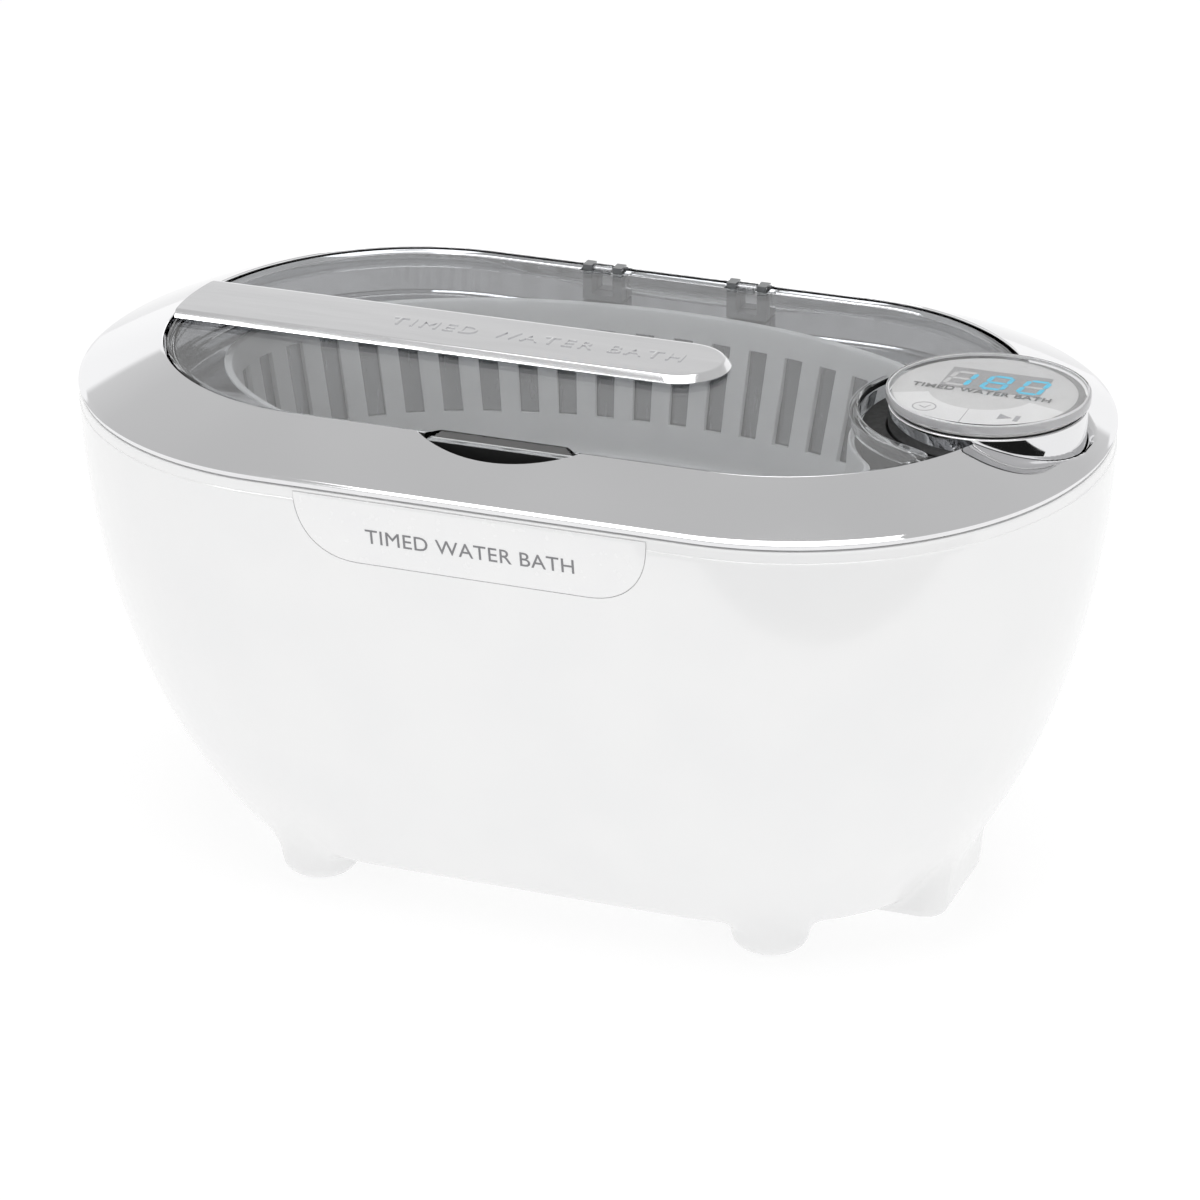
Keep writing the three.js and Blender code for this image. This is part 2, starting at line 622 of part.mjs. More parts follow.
for (const [side, x] of hingeXs()) {
  const outer = HINGE.halfWidth + GAP + HINGE.ear;
  const block = box(x - outer, x + outer, 51.8, 55, LEDGE_Z + GAP, HINGE.z + 1.2);
  const slot = box(x - HINGE.halfWidth - GAP, x + HINGE.halfWidth + GAP, 50, 57, LEDGE_Z + 1.6, HINGE.z + 3);
  const hole = rodAlongX(HINGE.pin + 0.2, x - 8, x + 8, HINGE.y, HINGE.z, 12);
  place("hinge_bracket_" + side, "hinge_grey", block.subtract(slot).subtract(hole));
  const pin = rodAlongX(HINGE.pin, x - outer + 0.1, x + outer - 0.1, HINGE.y, HINGE.z);
  place("hinge_pin_" + side, "steel", pin);
}

// The strip's right end is round; its left end follows the lid's curved end.
function stripRing(inset, z) {
  const half = STRIP.half - inset;
  const rim = grown(CREST, -LID.clear - 0.1);
  const points = [];
  for (let i = 0; i <= 12; i++) {
    const t = Math.PI * (i / 12 - 0.5);
    points.push([STRIP.right - STRIP.half + half * Math.cos(t), half * Math.sin(t), z]);
  }
  for (let i = 0; i <= 6; i++) {
    const y = half * (1 - i / 3);
    points.push([-(rim.a - rim.e + rim.e * Math.sqrt(1 - (y / rim.b) ** 2)), y, z]);
  }
  return points;
}

place(
  "lid_strip",
  "satin_strip",
  loft([
    stripRing(0.3, STRIP.bottom),
    stripRing(0, STRIP.bottom + 0.3),
    stripRing(STRIP.bevel, STRIP.top - 0.1),
    stripRing(STRIP.bevel + 0.5, STRIP.top),
  ]),
);

// ---- basket: an oval bowl with upright slots all round and a hollow for the display head ----
function basketOutside(z) {
  return between(oval(77.4, 44.2), oval(82.8, 50), (z - BASKET.floor) / (BASKET.rim - BASKET.floor));
}

function slotCutters() {
  const middle = basketOutside((SLOT.low + SLOT.high) / 2);
  const steps = 720;
  const cutters = [];
  let travelled = 0;
  let last = [middle.a, 0];
  for (let i = 1; i <= steps; i++) {
    const t = (2 * Math.PI * i) / steps;
    const here = [middle.a * Math.cos(t), middle.b * Math.sin(t)];
    travelled += Math.hypot(here[0] - last[0], here[1] - last[1]);
    last = here;
    if (travelled < SLOT.pitch) continue;
    travelled -= SLOT.pitch;
    if (here[0] > HEAD.x - BASKET_BITE - 2) continue;
    const turn = Math.atan2(here[1] / middle.b ** 2, here[0] / middle.a ** 2);
    const cutter = new THREE.BoxGeometry(9, SLOT.width, SLOT.high - SLOT.low).rotateZ(turn);
    cutters.push(solid(cutter.translate(here[0], here[1], (SLOT.low + SLOT.high) / 2)));
  }
  return cutters;
}

function basket() {
  const { floor, thick, rim, top, wall } = BASKET;
  const outer = [
    ring(grown(basketOutside(floor), -2), floor),
    ring(basketOutside(floor + 2), floor + 2),
    ring(basketOutside(rim), rim),
    ring(oval(84.6, 51.5), rim),
    ring(oval(84.6, 51.5), top - 0.3),
    ring(oval(84.2, 51.1), top),
  ];
  const bowl = loft([
    ...outer,
    ring(grown(basketOutside(rim), -wall + 0.3), top),
    ring(grown(basketOutside(rim), -wall), rim),
    ring(grown(basketOutside(floor + thick + 1), -wall), floor + thick + 1),
    ring(grown(basketOutside(floor + thick), -wall - 1.5), floor + thick),
  ]);
  const column = rod(BASKET_BITE, floor - 1, top + 1, HEAD.x, 0, 48);
  const biteWall = rod(BASKET_BITE + wall, floor, top, HEAD.x, 0, 48).intersect(loft(outer));
  const floorSlots = [-54, -42, -30, -18, -6, 6, 18, 30, 42].flatMap((x) =>
    [-1, 1].map((side) => box(x - 2, x + 2, side * 12 - 8, side * 12 + 8, floor - 1, floor + thick + 2)),
  );
  const sideSlots = slotCutters();
  return bowl
    .add(biteWall)
    .subtract(column)
    .subtract(join(floorSlots[0], ...floorSlots.slice(1), ...sideSlots));
}

place("basket", "basket_white", basket());

export default group;
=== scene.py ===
"""Looks of the ultrasonic cleaner. Lengths are millimetres until a mesh is made."""
import json
from collections import namedtuple
from contextlib import contextmanager
from math import acos, cos, hypot, pi, radians, sin, sqrt, tan

import bmesh
import bpy
import numpy as np
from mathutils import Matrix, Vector


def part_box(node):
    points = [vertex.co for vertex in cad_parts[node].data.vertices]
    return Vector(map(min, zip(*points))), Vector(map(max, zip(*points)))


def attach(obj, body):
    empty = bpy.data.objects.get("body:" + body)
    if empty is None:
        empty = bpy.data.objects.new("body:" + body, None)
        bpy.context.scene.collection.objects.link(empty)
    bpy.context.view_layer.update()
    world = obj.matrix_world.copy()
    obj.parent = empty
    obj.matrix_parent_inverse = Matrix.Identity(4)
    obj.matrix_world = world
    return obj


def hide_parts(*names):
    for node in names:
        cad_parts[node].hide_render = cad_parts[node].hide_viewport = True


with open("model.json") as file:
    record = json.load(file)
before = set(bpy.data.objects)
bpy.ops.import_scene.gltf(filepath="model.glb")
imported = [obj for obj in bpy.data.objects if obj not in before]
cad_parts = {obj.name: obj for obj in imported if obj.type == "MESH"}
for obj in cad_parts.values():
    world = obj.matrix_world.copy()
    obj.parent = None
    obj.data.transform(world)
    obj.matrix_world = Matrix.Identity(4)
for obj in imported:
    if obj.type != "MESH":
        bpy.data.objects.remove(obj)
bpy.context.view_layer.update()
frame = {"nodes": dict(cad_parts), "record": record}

MM = 0.001
BORDER = 0.25  # narrow border that keeps smooth shading at a flat end's edge
WIDE_FLAT = 60e-6  # flat faces above this area, in square metres, get that border
SAME_PLACE = 1e-7  # points closer than this, in metres, are one


def span(node):
    """Lowest and highest corner of a CAD node, in millimetres."""
    low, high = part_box(node)
    return np.array(low) / MM, np.array(high) / MM


def disc_of(node):
    """Radius, centre x and y, and lowest and highest z of a round CAD node."""
    low, high = span(node)
    return (high[0] - low[0]) / 2, (low[0] + high[0]) / 2, (low[1] + high[1]) / 2, low[2], high[2]


# ---- places from the frame ----
HOUSING_HIGH = span("lower_housing")[1]
SEAM_Z = HOUSING_HIGH[2]
BASE_Z = span("base_plate")[0][2]
BEZEL_LOW, BEZEL_HIGH = span("top_bezel")
CREST_Z = BEZEL_HIGH[2]
BASKET_FLOOR_Z = span("basket")[0][2]
TANK_LOW, TANK_HIGH = span("tank")
LID_LOW = span("lid_rim")[0]
STRIP_LOW, STRIP_HIGH = span("lid_strip")
INLET_LOW, INLET_HIGH = span("power_inlet")
CUP_RADIUS, HEAD_X, _, CUP_LOW, CUP_TOP = disc_of("display_cup")
LENS_RADIUS, _, _, LENS_LOW, LENS_TOP = disc_of("display_lens")
FACE_RADIUS, _, _, FACE_LOW, FACE_TOP = disc_of("face_plate")
PAD_RADIUS, FOOT_X, FOOT_Y, _, PAD_TOP = disc_of("foot_pad_rear_right")

# ---- outlines: two half ellipses joined by straight sides ----
Outline = namedtuple("Outline", "a b e")  # half length, half width, reach of each curved end
SEAM = Outline(HOUSING_HIGH[0], -BEZEL_LOW[1], 67.0)
CREST = Outline(96.4, 55.3, 50.8)
BASE = Outline(82.2, 41.5, 47.0)
OPENING = Outline(83.2, 50.3, 82.7)
WALL = 2.6
GAP = 0.3


def grown(outline, d):
    return Outline(outline.a + d, outline.b + d, outline.e + d)


def between(low, high, share):
    return Outline(*(p + (q - p) * share for p, q in zip(low, high)))


def body_outline(z, grow=0.0):
    """The housing's outline at height z, which may be an array."""
    u = (SEAM_Z - z) / (SEAM_Z - BASE_Z)
    length = 0.83 * u**2 + 0.17 * u**5
    width = 0.5 * u + 0.36 * u**2 + 0.14 * u**5
    return Outline(
        SEAM.a + (BASE.a - SEAM.a) * length + grow,
        SEAM.b + (BASE.b - SEAM.b) * width + grow,
        SEAM.e + (BASE.e - SEAM.e) * u + grow,
    )


class Stations:
    """Places round an outline that are the same on every ring, so that rings join up."""

    def __init__(self, straight, along, across):
        self.straight, self.along, self.across = straight, along, across

    def ring(self, outline, z):
        x = self.straight * (outline.a - outline.e) + self.along * outline.e
        y = self.across * outline.b
        return np.stack([x, y, np.broadcast_to(z, x.shape)], 1)


def stations(arc, side):
    """Stations with arc places on each curved end and side places on each straight side, anticlockwise."""
    angle = np.linspace(-pi / 2, pi / 2, arc)
    shares = np.linspace(1, -1, side + 2)[1:-1]
    straight = [np.ones(arc), shares, -np.ones(arc), -shares]
    along = [np.cos(angle), np.zeros(side), -np.cos(angle), np.zeros(side)]
    across = [np.sin(angle), np.ones(side), -np.sin(angle), -np.ones(side)]
    return Stations(*(np.concatenate(part) for part in (straight, along, across)))


def stations_through(points, outline):
    """The stations of points that lie on an outline, in order round it."""
    over = np.abs(points[:, 0]) - (outline.a - outline.e)
    side = np.sign(points[:, 0])
    radius = np.hypot(np.maximum(over, 0) / outline.e, points[:, 1] / outline.b)
    straight = np.where(over > 0, side, points[:, 0] / (outline.a - outline.e))
    along = np.where(over > 0, side * over / outline.e / radius, 0)
    across = np.where(over > 0, points[:, 1] / outline.b / radius, np.sign(points[:, 1]))
    return Stations(straight, along, across)


# ---- mesh making ----
def grid_faces(rows, columns, wrap_rows=False, wrap_columns=True):
    faces = []
    for i in range(rows if wrap_rows else rows - 1):
        for j in range(columns if wrap_columns else columns - 1):
            low, high = i * columns, (i + 1) % rows * columns
            right = (j + 1) % columns
            faces.append((low + j, low + right, high + right, high + j))
    return faces


def make_mesh(name, points, faces):
    mesh = bpy.data.meshes.new(name)
    mesh.from_pydata([tuple(p) for p in np.asarray(points, float) * MM], [], faces)
    mesh.validate()
    return mesh


@contextmanager
def editing(data):
    """A mesh's own data as a bmesh, written back at the end."""
    mesh = bmesh.new()
    mesh.from_mesh(data)
    yield mesh
    mesh.to_mesh(data)
    mesh.free()


def make_object(name, mesh):
    thing = bpy.data.objects.new(name, mesh)
    bpy.context.scene.collection.objects.link(thing)
    return thing


def solid(name, points, faces):
    return make_object(name, make_mesh(name, points, faces))


def loft(name, rings, looped=False, capped=True):
    """Rings run up the outside; looped joins the last to the first, capped closes each end with one face."""
    count = len(rings[0])
    faces = grid_faces(len(rings), count, wrap_rows=looped)
    if capped and not looped:
        last = (len(rings) - 1) * count
        faces.append(tuple(reversed(range(count))))
        faces.append(tuple(range(last, last + count)))
    return solid(name, np.concatenate(rings), faces)


def turned(name, profile, x=0.0, y=0.0, segments=128):
    """A profile of (radius, z) turned about a vertical axis. Points on the axis close it, with a border."""
    profile = list(profile)
    for end, at in ((0, 1), (-1, -1)):
        beside = profile[1 if end == 0 else -2]
        if profile[end][0] == 0 and beside[1] == profile[end][1] and beside[0] > 1:
            profile.insert(at, (beside[0] - BORDER, beside[1]))
    angle = np.arange(segments) * 2 * pi / segments
    rings = [
        np.stack([x + r * np.cos(angle), y + r * np.sin(angle), np.full(segments, z)], 1)
        for r, z in profile
        if r > 0
    ]
    closed = profile[0][0] > 0
    faces = grid_faces(len(rings), segments, wrap_rows=closed)
    points = list(np.concatenate(rings))
    if not closed:
        last = (len(rings) - 1) * segments
        for row, z, turn in ((0, profile[0][1], -1), (last, profile[-1][1], 1)):
            points.append(np.array([x, y, z]))
            for j in range(segments):
                edge = [row + j, row + (j + 1) % segments][::turn]
                faces.append((len(points) - 1, *edge))
    return solid(name, points, faces)


def rounded(profile, radius, steps=4):
    """A profile with an arc in place of each corner; radius is one number or one for each point."""
    points = [np.array(p, float) for p in profile]
    radii = np.broadcast_to(radius, len(points))
    made = [tuple(points[0])]
    for before, here, after, r in zip(points, points[1:], points[2:], radii[1:-1]):
        towards = [(p - here) / np.linalg.norm(p - here) for p in (before, after)]
        half = acos(np.clip(towards[0] @ towards[1], -1, 1)) / 2
        if r <= 0 or half > 1.55:
            made.append(tuple(here))
            continue
        reach = r / tan(half)
        start, end = here + towards[0] * reach, here + towards[1] * reach
        for k in range(steps + 1):
            t = k / steps
            made.append(tuple((1 - t) ** 2 * start + 2 * t * (1 - t) * here + t**2 * end))
    made.append(tuple(points[-1]))
    return made


def box_mesh(name, low, high):
    x, y, z = zip(low, high)
    corners = [(x[i], y[j], z[k]) for k in (0, 1) for j in (0, 1) for i in (0, 1)]
    faces = [(0, 2, 3, 1), (4, 5, 7, 6), (0, 1, 5, 4), (2, 6, 7, 3), (0, 4, 6, 2), (1, 3, 7, 5)]
    return solid(name, corners, faces)


def prism(name, outline, low, high):
    """A flat outline of (x, y) points pushed up from low to high."""
    flat = np.array(outline)
    return loft(name, [np.column_stack([flat, np.full(len(flat), z)]) for z in (low, high)])


def rectangle(left, right, low, high):
    return [(left, low), (right, low), (right, high), (left, high)]


def stood(section, angle, x=0.0, y=0.0):
    """A section of (radius, z) points stood up at an angle about a vertical axis."""
    return np.array([(x + r * cos(angle), y + r * sin(angle), z) for r, z in section])


def rounded_rectangle(half_x, half_y, corner, steps=8):
    points = []
    for quarter, (sx, sy) in enumerate([(1, -1), (1, 1), (-1, 1), (-1, -1)]):
        for k in range(steps + 1):
            angle = pi / 2 * (quarter - 1 + k / steps)
            x, y = sx * (half_x - corner), sy * (half_y - corner)
            points.append((x + corner * cos(angle), y + corner * sin(angle)))
    return points


def merged(*things):
    """The first object, holding the meshes of all."""
    joined = bmesh.new()
    for thing in things:
        joined.from_mesh(thing.data)
    joined.to_mesh(things[0].data)
    joined.free()
    for thing in things[1:]:
        bpy.data.objects.remove(thing)
    return things[0]


def baked(thing):
    """Applies an object's modifiers to its mesh."""
    bpy.context.view_layer.update()
    graph = bpy.context.evaluated_depsgraph_get()
    mesh = bpy.data.meshes.new_from_object(thing.evaluated_get(graph))
    thing.modifiers.clear()
    thing.data = mesh
    return thing


def carved(thing, cutter, operation="DIFFERENCE"):
    outward(cutter)
    change = thing.modifiers.new("carve", "BOOLEAN")
    change.operation = operation
    change.object = cutter
    change.solver = "EXACT"
    baked(thing)
    bpy.data.objects.remove(cutter)
    return thing


def softened(thing, width, angle=40, segments=2):
    change = thing.modifiers.new("soft_edges", "BEVEL")
    change.width = width * MM
    change.segments = segments
    change.limit_method = "ANGLE"
    change.angle_limit = radians(angle)
    change.harden_normals = False
    return thing


def framed_flats(thing):
    """Gives each wide flat face a narrow border, so that smooth shading stays at its edge."""
    with editing(thing.data) as mesh:
        wide = [face for face in mesh.faces if len(face.verts) > 8 and face.calc_area() > WIDE_FLAT]
        if wide:
            bmesh.ops.inset_individual(mesh, faces=wide, thickness=BORDER * MM, use_even_offset=True)


def outward(thing):
    """Turns every face outwards."""
    with editing(thing.data) as mesh:
        bmesh.ops.remove_doubles(mesh, verts=mesh.verts, dist=SAME_PLACE)
        bmesh.ops.recalc_face_normals(mesh, faces=mesh.faces)
    return thing


def finished(thing, body, slot, *nodes, material=None, sharp=32):
    """Smooth-shades a piece, gives it its finish, joins it to its body and hides the CAD nodes it stands
    for.
    """
    outward(thing)
    framed_flats(thing)
    mesh = thing.data
    mesh.shade_smooth()
    mesh.set_sharp_from_angle(angle=radians(sharp))
    mesh.materials.clear()
    mesh.materials.append(MATERIALS[material or slot])
    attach(thing, body)
    if nodes:
        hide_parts(*nodes)
    return thing


# ---- materials ----
def new_material(name):
    material = bpy.data.materials.new(name)
    material.use_nodes = True
    nodes = material.node_tree.nodes
    shader = nodes["Principled BSDF"]
    return material, material.node_tree, shader


def filled(tree, node, inputs):
    """Links each input that is another node's output, and sets the others."""
    for name, value in inputs.items():
        if isinstance(value, bpy.types.NodeSocket):
            tree.links.new(value, node.inputs[name])
        else:
            node.inputs[name].default_value = value
    return node


def added(tree, kind, **inputs):
    return filled(tree, tree.nodes.new("ShaderNode" + kind), inputs)


def texture_noise(tree, scale, stretch=(1, 1, 1), detail=3.0):
    """Noise in the object's own metres, with scale in cycles per metre."""
    place = added(tree, "TexCoord").outputs["Object"]
    mapping = added(tree, "Mapping", Scale=stretch, Vector=place)
    noise = added(tree, "TexNoise", Scale=scale, Detail=detail, Vector=mapping.outputs["Vector"])
    return noise.outputs["Fac"]


def spread(tree, value, low, high):
    node = tree.nodes.new("ShaderNodeMapRange")
    inputs = {"From Min": 0.35, "From Max": 0.65, "To Min": low, "To Max": high, "Value": value}
    return filled(tree, node, inputs).outputs["Result"]


def rgb(tone):
    """A colour as it is, or a grey from one number."""
    return tone if isinstance(tone, tuple) else (tone,) * 3


def clouded(tree, first, second, scale, stretch=(1, 1, 1), detail=3.0):
    """Two close colours in soft clouds."""
    cloud = spread(tree, texture_noise(tree, scale, stretch, detail), 0, 1)
    node = tree.nodes.new("ShaderNodeMix")
    node.data_type = "RGBA"
    inputs = {"Factor": cloud, "A": (*rgb(first), 1), "B": (*rgb(second), 1)}
    return filled(tree, node, inputs).outputs["Result"]


# roughness runs from rough to rougher; grain is in cycles per metre and relief, the bump, in mm
FINISH_PARTS = "colour shade rough rougher grain metal coat stretch relief"
Finish = namedtuple("Finish", FINISH_PARTS, defaults=(0, 0, (1, 1, 1), 0))
FINISHES = {
    "housing_white": Finish(0.87, (0.855, 0.856, 0.858), 0.16, 0.22, 260, coat=0.5),
    "label_white": Finish(0.88, (0.865, 0.865, 0.87), 0.2, 0.28, 500, coat=0.6),
    "silicone_grey": Finish((0.62, 0.63, 0.64), (0.55, 0.56, 0.57), 0.65, 0.8, 2500, relief=0.02),
    "screw_steel": Finish((0.60, 0.60, 0.61), (0.52, 0.52, 0.53), 0.22, 0.38, 2200, metal=1, relief=0.004),
    "black_plastic": Finish((0.030, 0.030, 0.032), (0.022, 0.022, 0.024), 0.4, 0.55, 3500, relief=0.01),
    "bezel_chrome": Finish((0.80, 0.80, 0.81), (0.77, 0.77, 0.78), 0.035, 0.06, 160, metal=1),
    "tank_steel": Finish(
        (0.36, 0.365, 0.37), (0.32, 0.325, 0.33), 0.16, 0.28, 900, metal=1, stretch=(1, 1, 0.08)
    ),
    "hinge_grey": Finish((0.16, 0.165, 0.17), (0.14, 0.145, 0.15), 0.08, 0.14, 900, coat=0.3),
    "aluminium": Finish(
        (0.70, 0.71, 0.73), (0.62, 0.63, 0.65), 0.3, 0.45, 3000, metal=1, stretch=(1, 1, 0.1), relief=0.004
    ),
    "piezo_ceramic": Finish((0.36, 0.31, 0.26), (0.29, 0.25, 0.21), 0.55, 0.7, 2600, relief=0.01),
    "copper": Finish((0.72, 0.42, 0.25), (0.60, 0.32, 0.18), 0.25, 0.4, 1200, metal=1),
    "board_green": Finish((0.07, 0.30, 0.14), (0.05, 0.22, 0.10), 0.35, 0.5, 1500, coat=0.3, relief=0.01),
    "component_dark": Finish((0.05, 0.055, 0.06), (0.035, 0.038, 0.042), 0.4, 0.55, 2000, relief=0.01),
    "component_amber": Finish((0.55, 0.24, 0.06), (0.45, 0.17, 0.04), 0.25, 0.4, 700, coat=0.4, relief=0.05),
    "wire_red": Finish((0.42, 0.05, 0.04), (0.34, 0.035, 0.03), 0.4, 0.5, 1600),
    "led_grey": Finish((0.33, 0.34, 0.35), (0.30, 0.31, 0.32), 0.4, 0.5, 1500),
    "face_print": Finish(0.44, 0.42, 0.35, 0.45, 800),
    "strip_satin": Finish(
        (0.76, 0.76, 0.77), (0.73, 0.73, 0.74), 0.1, 0.14, 1200, metal=1, stretch=(0.06, 1, 1)
    ),
    "basket_white": Finish(0.72, 0.69, 0.35, 0.5, 700, relief=0.01),
    # near black in place of the bezel's chrome: painted shade in the notch under the lid, and a painted dark
    # reflection on the head collar
    "painted_shade_and_reflection": Finish(0.004, 0.003, 0.6, 0.7, 800),
    "touch_print": Finish(0.60, 0.58, 0.35, 0.45, 800),
    "seat_grey": Finish((0.58, 0.58, 0.59), (0.55, 0.55, 0.56), 0.4, 0.5, 800),
    "window_grey": Finish(0.18, 0.165, 0.3, 0.4, 800),
    "ink_grey": Finish((0.24, 0.24, 0.25), (0.21, 0.21, 0.22), 0.45, 0.6, 1500),
    "face_ink": Finish((0.04, 0.04, 0.042), (0.034, 0.034, 0.036), 0.45, 0.6, 1500),
    # dark grey of the painted shadow along the display face's edge
    "painted_edge_shadow": Finish(0.15, 0.13, 0.4, 0.5, 800),
    "ghost_segment": Finish(0.42, 0.40, 0.4, 0.5, 1500),
}


def plain_finish(name, finish):
    material, tree, shader = new_material(name)
    grain = texture_noise(tree, finish.grain, finish.stretch)
    filled(tree, shader, {
        "Base Color": clouded(tree, finish.colour, finish.shade, finish.grain / 6, finish.stretch, 1.0),
        "Roughness": spread(tree, grain, finish.rough, finish.rougher),
        "Metallic": finish.metal, "Coat Weight": finish.coat, "Coat Roughness": 0.06,
    })
    if finish.relief:
        bump = added(tree, "Bump", Strength=1.0, Distance=finish.relief * MM, Height=grain)
        tree.links.new(bump.outputs["Normal"], shader.inputs["Normal"])
    return material


def clear_finish(name, tint, shade, ior, rough):
    """Clear plastic with faint clouding that lets lamps through, so that what is under it is lit."""
    material, tree, shader = new_material(name)
    filled(tree, shader, {
        "Base Color": clouded(tree, tint, shade, 60, detail=1.0),
        "Roughness": spread(tree, texture_noise(tree, 1500), 0.0, rough),
        "Transmission Weight": 1.0, "IOR": ior,
    })
    open_shader = added(tree, "BsdfTransparent", Color=(*rgb(tint), 1))
    mix = added(tree, "MixShader", Fac=added(tree, "LightPath").outputs["Is Shadow Ray"])
    tree.links.new(shader.outputs["BSDF"], mix.inputs[1])
    tree.links.new(open_shader.outputs["BSDF"], mix.inputs[2])
    tree.links.new(mix.outputs["Shader"], tree.nodes["Material Output"].inputs["Surface"])
    return material


def lit_segment(name, colour, strength):
    material, tree, shader = new_material(name)
    filled(tree, shader, {
        "Base Color": clouded(tree, colour, tuple(0.9 * c for c in colour), 900),
        "Emission Color": (*colour, 1), "Emission Strength": strength,
        "Roughness": 0.5, "Specular IOR Level": 0.0,
    })
    return material


MATERIALS = {name: plain_finish(name, finish) for name, finish in FINISHES.items()}
MATERIALS["smoke_clear"] = clear_finish("smoke_clear", (0.74, 0.75, 0.76), (0.72, 0.73, 0.74), 1.5, 0.02)
MATERIALS["clear_acrylic"] = clear_finish("clear_acrylic", 0.975, (0.955, 0.955, 0.96), 1.49, 0.01)
MATERIALS["segment_cyan"] = lit_segment("segment_cyan", (0.002, 0.37, 0.56), 0.26)

for part in frame["record"]["subparts"]:
    data = frame["nodes"][part["node"]].data
    data.materials.clear()
    data.materials.append(MATERIALS[part["material_slot"]])


# ---- stage: floor, light and camera ----
def stage():
    corners = [(-9e3, -9e3, 0), (9e3, -9e3, 0), (9e3, 9e3, 0), (-9e3, 9e3, 0)]
    floor = solid("floor", corners, [(0, 1, 2, 3)])
    material, tree, shader = new_material("floor")
    filled(tree, shader, {
        "Base Color": clouded(tree, 0.30, 0.29, 2),
        "Emission Color": (1, 1, 1, 1), "Emission Strength": 0.74,
        "Roughness": 0.9, "Specular IOR Level": 0.1,
    })
    floor.data.materials.append(material)


def lamp(name, place, target, size, power):
    data = bpy.data.lights.new(name, "AREA")
    data.shape = "RECTANGLE"
    data.size, data.size_y = size
    data.energy = power
    light = make_object(name, data)
    light.location = place
    light.rotation_mode = "QUATERNION"
    light.rotation_quaternion = (Vector(target) - Vector(place)).to_track_quat("-Z", "Y")
    return light


def card(name, corners):
    """A dark sheet just above the bench; corners are metres to the view's right and towards the camera."""
    right = Vector((cos(AZIMUTH), sin(AZIMUTH), 0)) / MM
    near = Vector((sin(AZIMUTH), -cos(AZIMUTH), 0)) / MM
    points = [right * x + near * y + Vector((0, 0, 0.5)) for x, y in corners]
    sheet = solid(name, points, [(0, 1, 2, 3)])
    material, tree, shader = new_material(name)
    inputs = {"Base Color": clouded(tree, 0.012, 0.010, 5), "Roughness": 0.9, "Specular IOR Level": 0.0}
    filled(tree, shader, inputs)
    sheet.data.materials.append(material)
    sheet.visible_camera = sheet.visible_diffuse = sheet.visible_transmission = sheet.visible_shadow = False


AZIMUTH, ELEVATION, DISTANCE = radians(20.66), radians(23.45), 1.10
TARGET = Vector((0.0017, 0.0, 0.061))
LENS = 149.1


def studio():
    """A white room with a mid grey ceiling, two lamps above the front and a dark card on the bench."""
    world = bpy.data.worlds.new("studio")
    world.use_nodes = True
    bpy.context.scene.world = world
    tree = world.node_tree
    background = tree.nodes["Background"]
    place = tree.nodes.new("ShaderNodeTexCoord")
    parts = tree.nodes.new("ShaderNodeSeparateXYZ")
    ramp = tree.nodes.new("ShaderNodeValToRGB")
    tree.links.new(place.outputs["Generated"], parts.inputs["Vector"])
    tree.links.new(parts.outputs["Z"], ramp.inputs["Fac"])
    tree.links.new(ramp.outputs["Color"], background.inputs["Color"])
    stops = [(0.0, 1.0), (0.305, 1.0), (0.335, 0.655), (0.5, 0.58), (1.0, 0.545)]
    elements = ramp.color_ramp.elements
    while len(elements) < len(stops):
        elements.new(0.5)
    for element, (at, level) in zip(elements, stops):
        element.position = at
        element.color = (level, level, level, 1)
    background.inputs["Strength"].default_value = 1.1
    card("front_card", [(-0.3, 0.18), (0.39, 0.18), (0.39, 0.75), (-0.3, 0.75)])
    glint = lamp("bevel_lamp", (-0.33, -0.62, 1.0), (0, 0, 0.11), (0.9, 0.16), 3.0)
    glint.visible_diffuse = False
    lamp("overhead_lamp", (0.1, -0.2, 1.3), (0, 0, 0.06), (1.0, 1.0), 8)
    scene = bpy.context.scene
    scene.view_settings.view_transform = "Standard"
    scene.view_settings.look = "None"


def camera():
    back = Vector(
        (
            sin(AZIMUTH) * cos(ELEVATION),
            -cos(AZIMUTH) * cos(ELEVATION),
            sin(ELEVATION),
        )
    )
    data = bpy.data.cameras.new("camera")
    data.lens, data.sensor_width = LENS, 36
    thing = make_object("camera", data)
    thing.location = TARGET + back * DISTANCE
    thing.rotation_mode = "QUATERNION"
    thing.rotation_quaternion = (-back).to_track_quat("-Z", "Y")
    bpy.context.scene.camera = thing


# ---- housing ----
FOOT_BOTTOM, FOOT_TOP, FOOT_RIM = 8.0, 9.8, 0.6
FOOT_BLEND, BOSS_BLEND, BASE_EDGE = 3.2, 2.4, 2.6
BOSS_START, BOSS_END, BOSS_HALF, BOSS_BOTTOM, BOSS_TOP = 58.0, 87.0, 16.8, 4.5, 24.0
BOSS_CORNER, BOSS_DRAFT = 5.0, 1.8
CUT_Z = 36.0  # feet and boss blend in below this height, plain rings stand above it
FEET = [(x, y) for x in (-FOOT_X, FOOT_X) for y in (-FOOT_Y, FOOT_Y)]


def smooth_min(p, q, reach):
    share = np.maximum(reach - np.abs(p - q), 0) / reach
    return np.minimum(p, q) - share**2 * reach / 4


def smooth_max(p, q, reach):
    return -smooth_min(-p, -q, reach)


def outline_distance(outline, x, y):
    """Roughly how far a point lies outside an outline, in its plane."""
    over = np.maximum(np.abs(x) - (outline.a - outline.e), 0)
    radius = np.maximum(np.hypot(over / outline.e, y / outline.b), 1e-6)
    slope = np.hypot(over / outline.e**2, y / outline.b**2) / radius
    return (radius - 1) / np.maximum(slope, 1e-6)


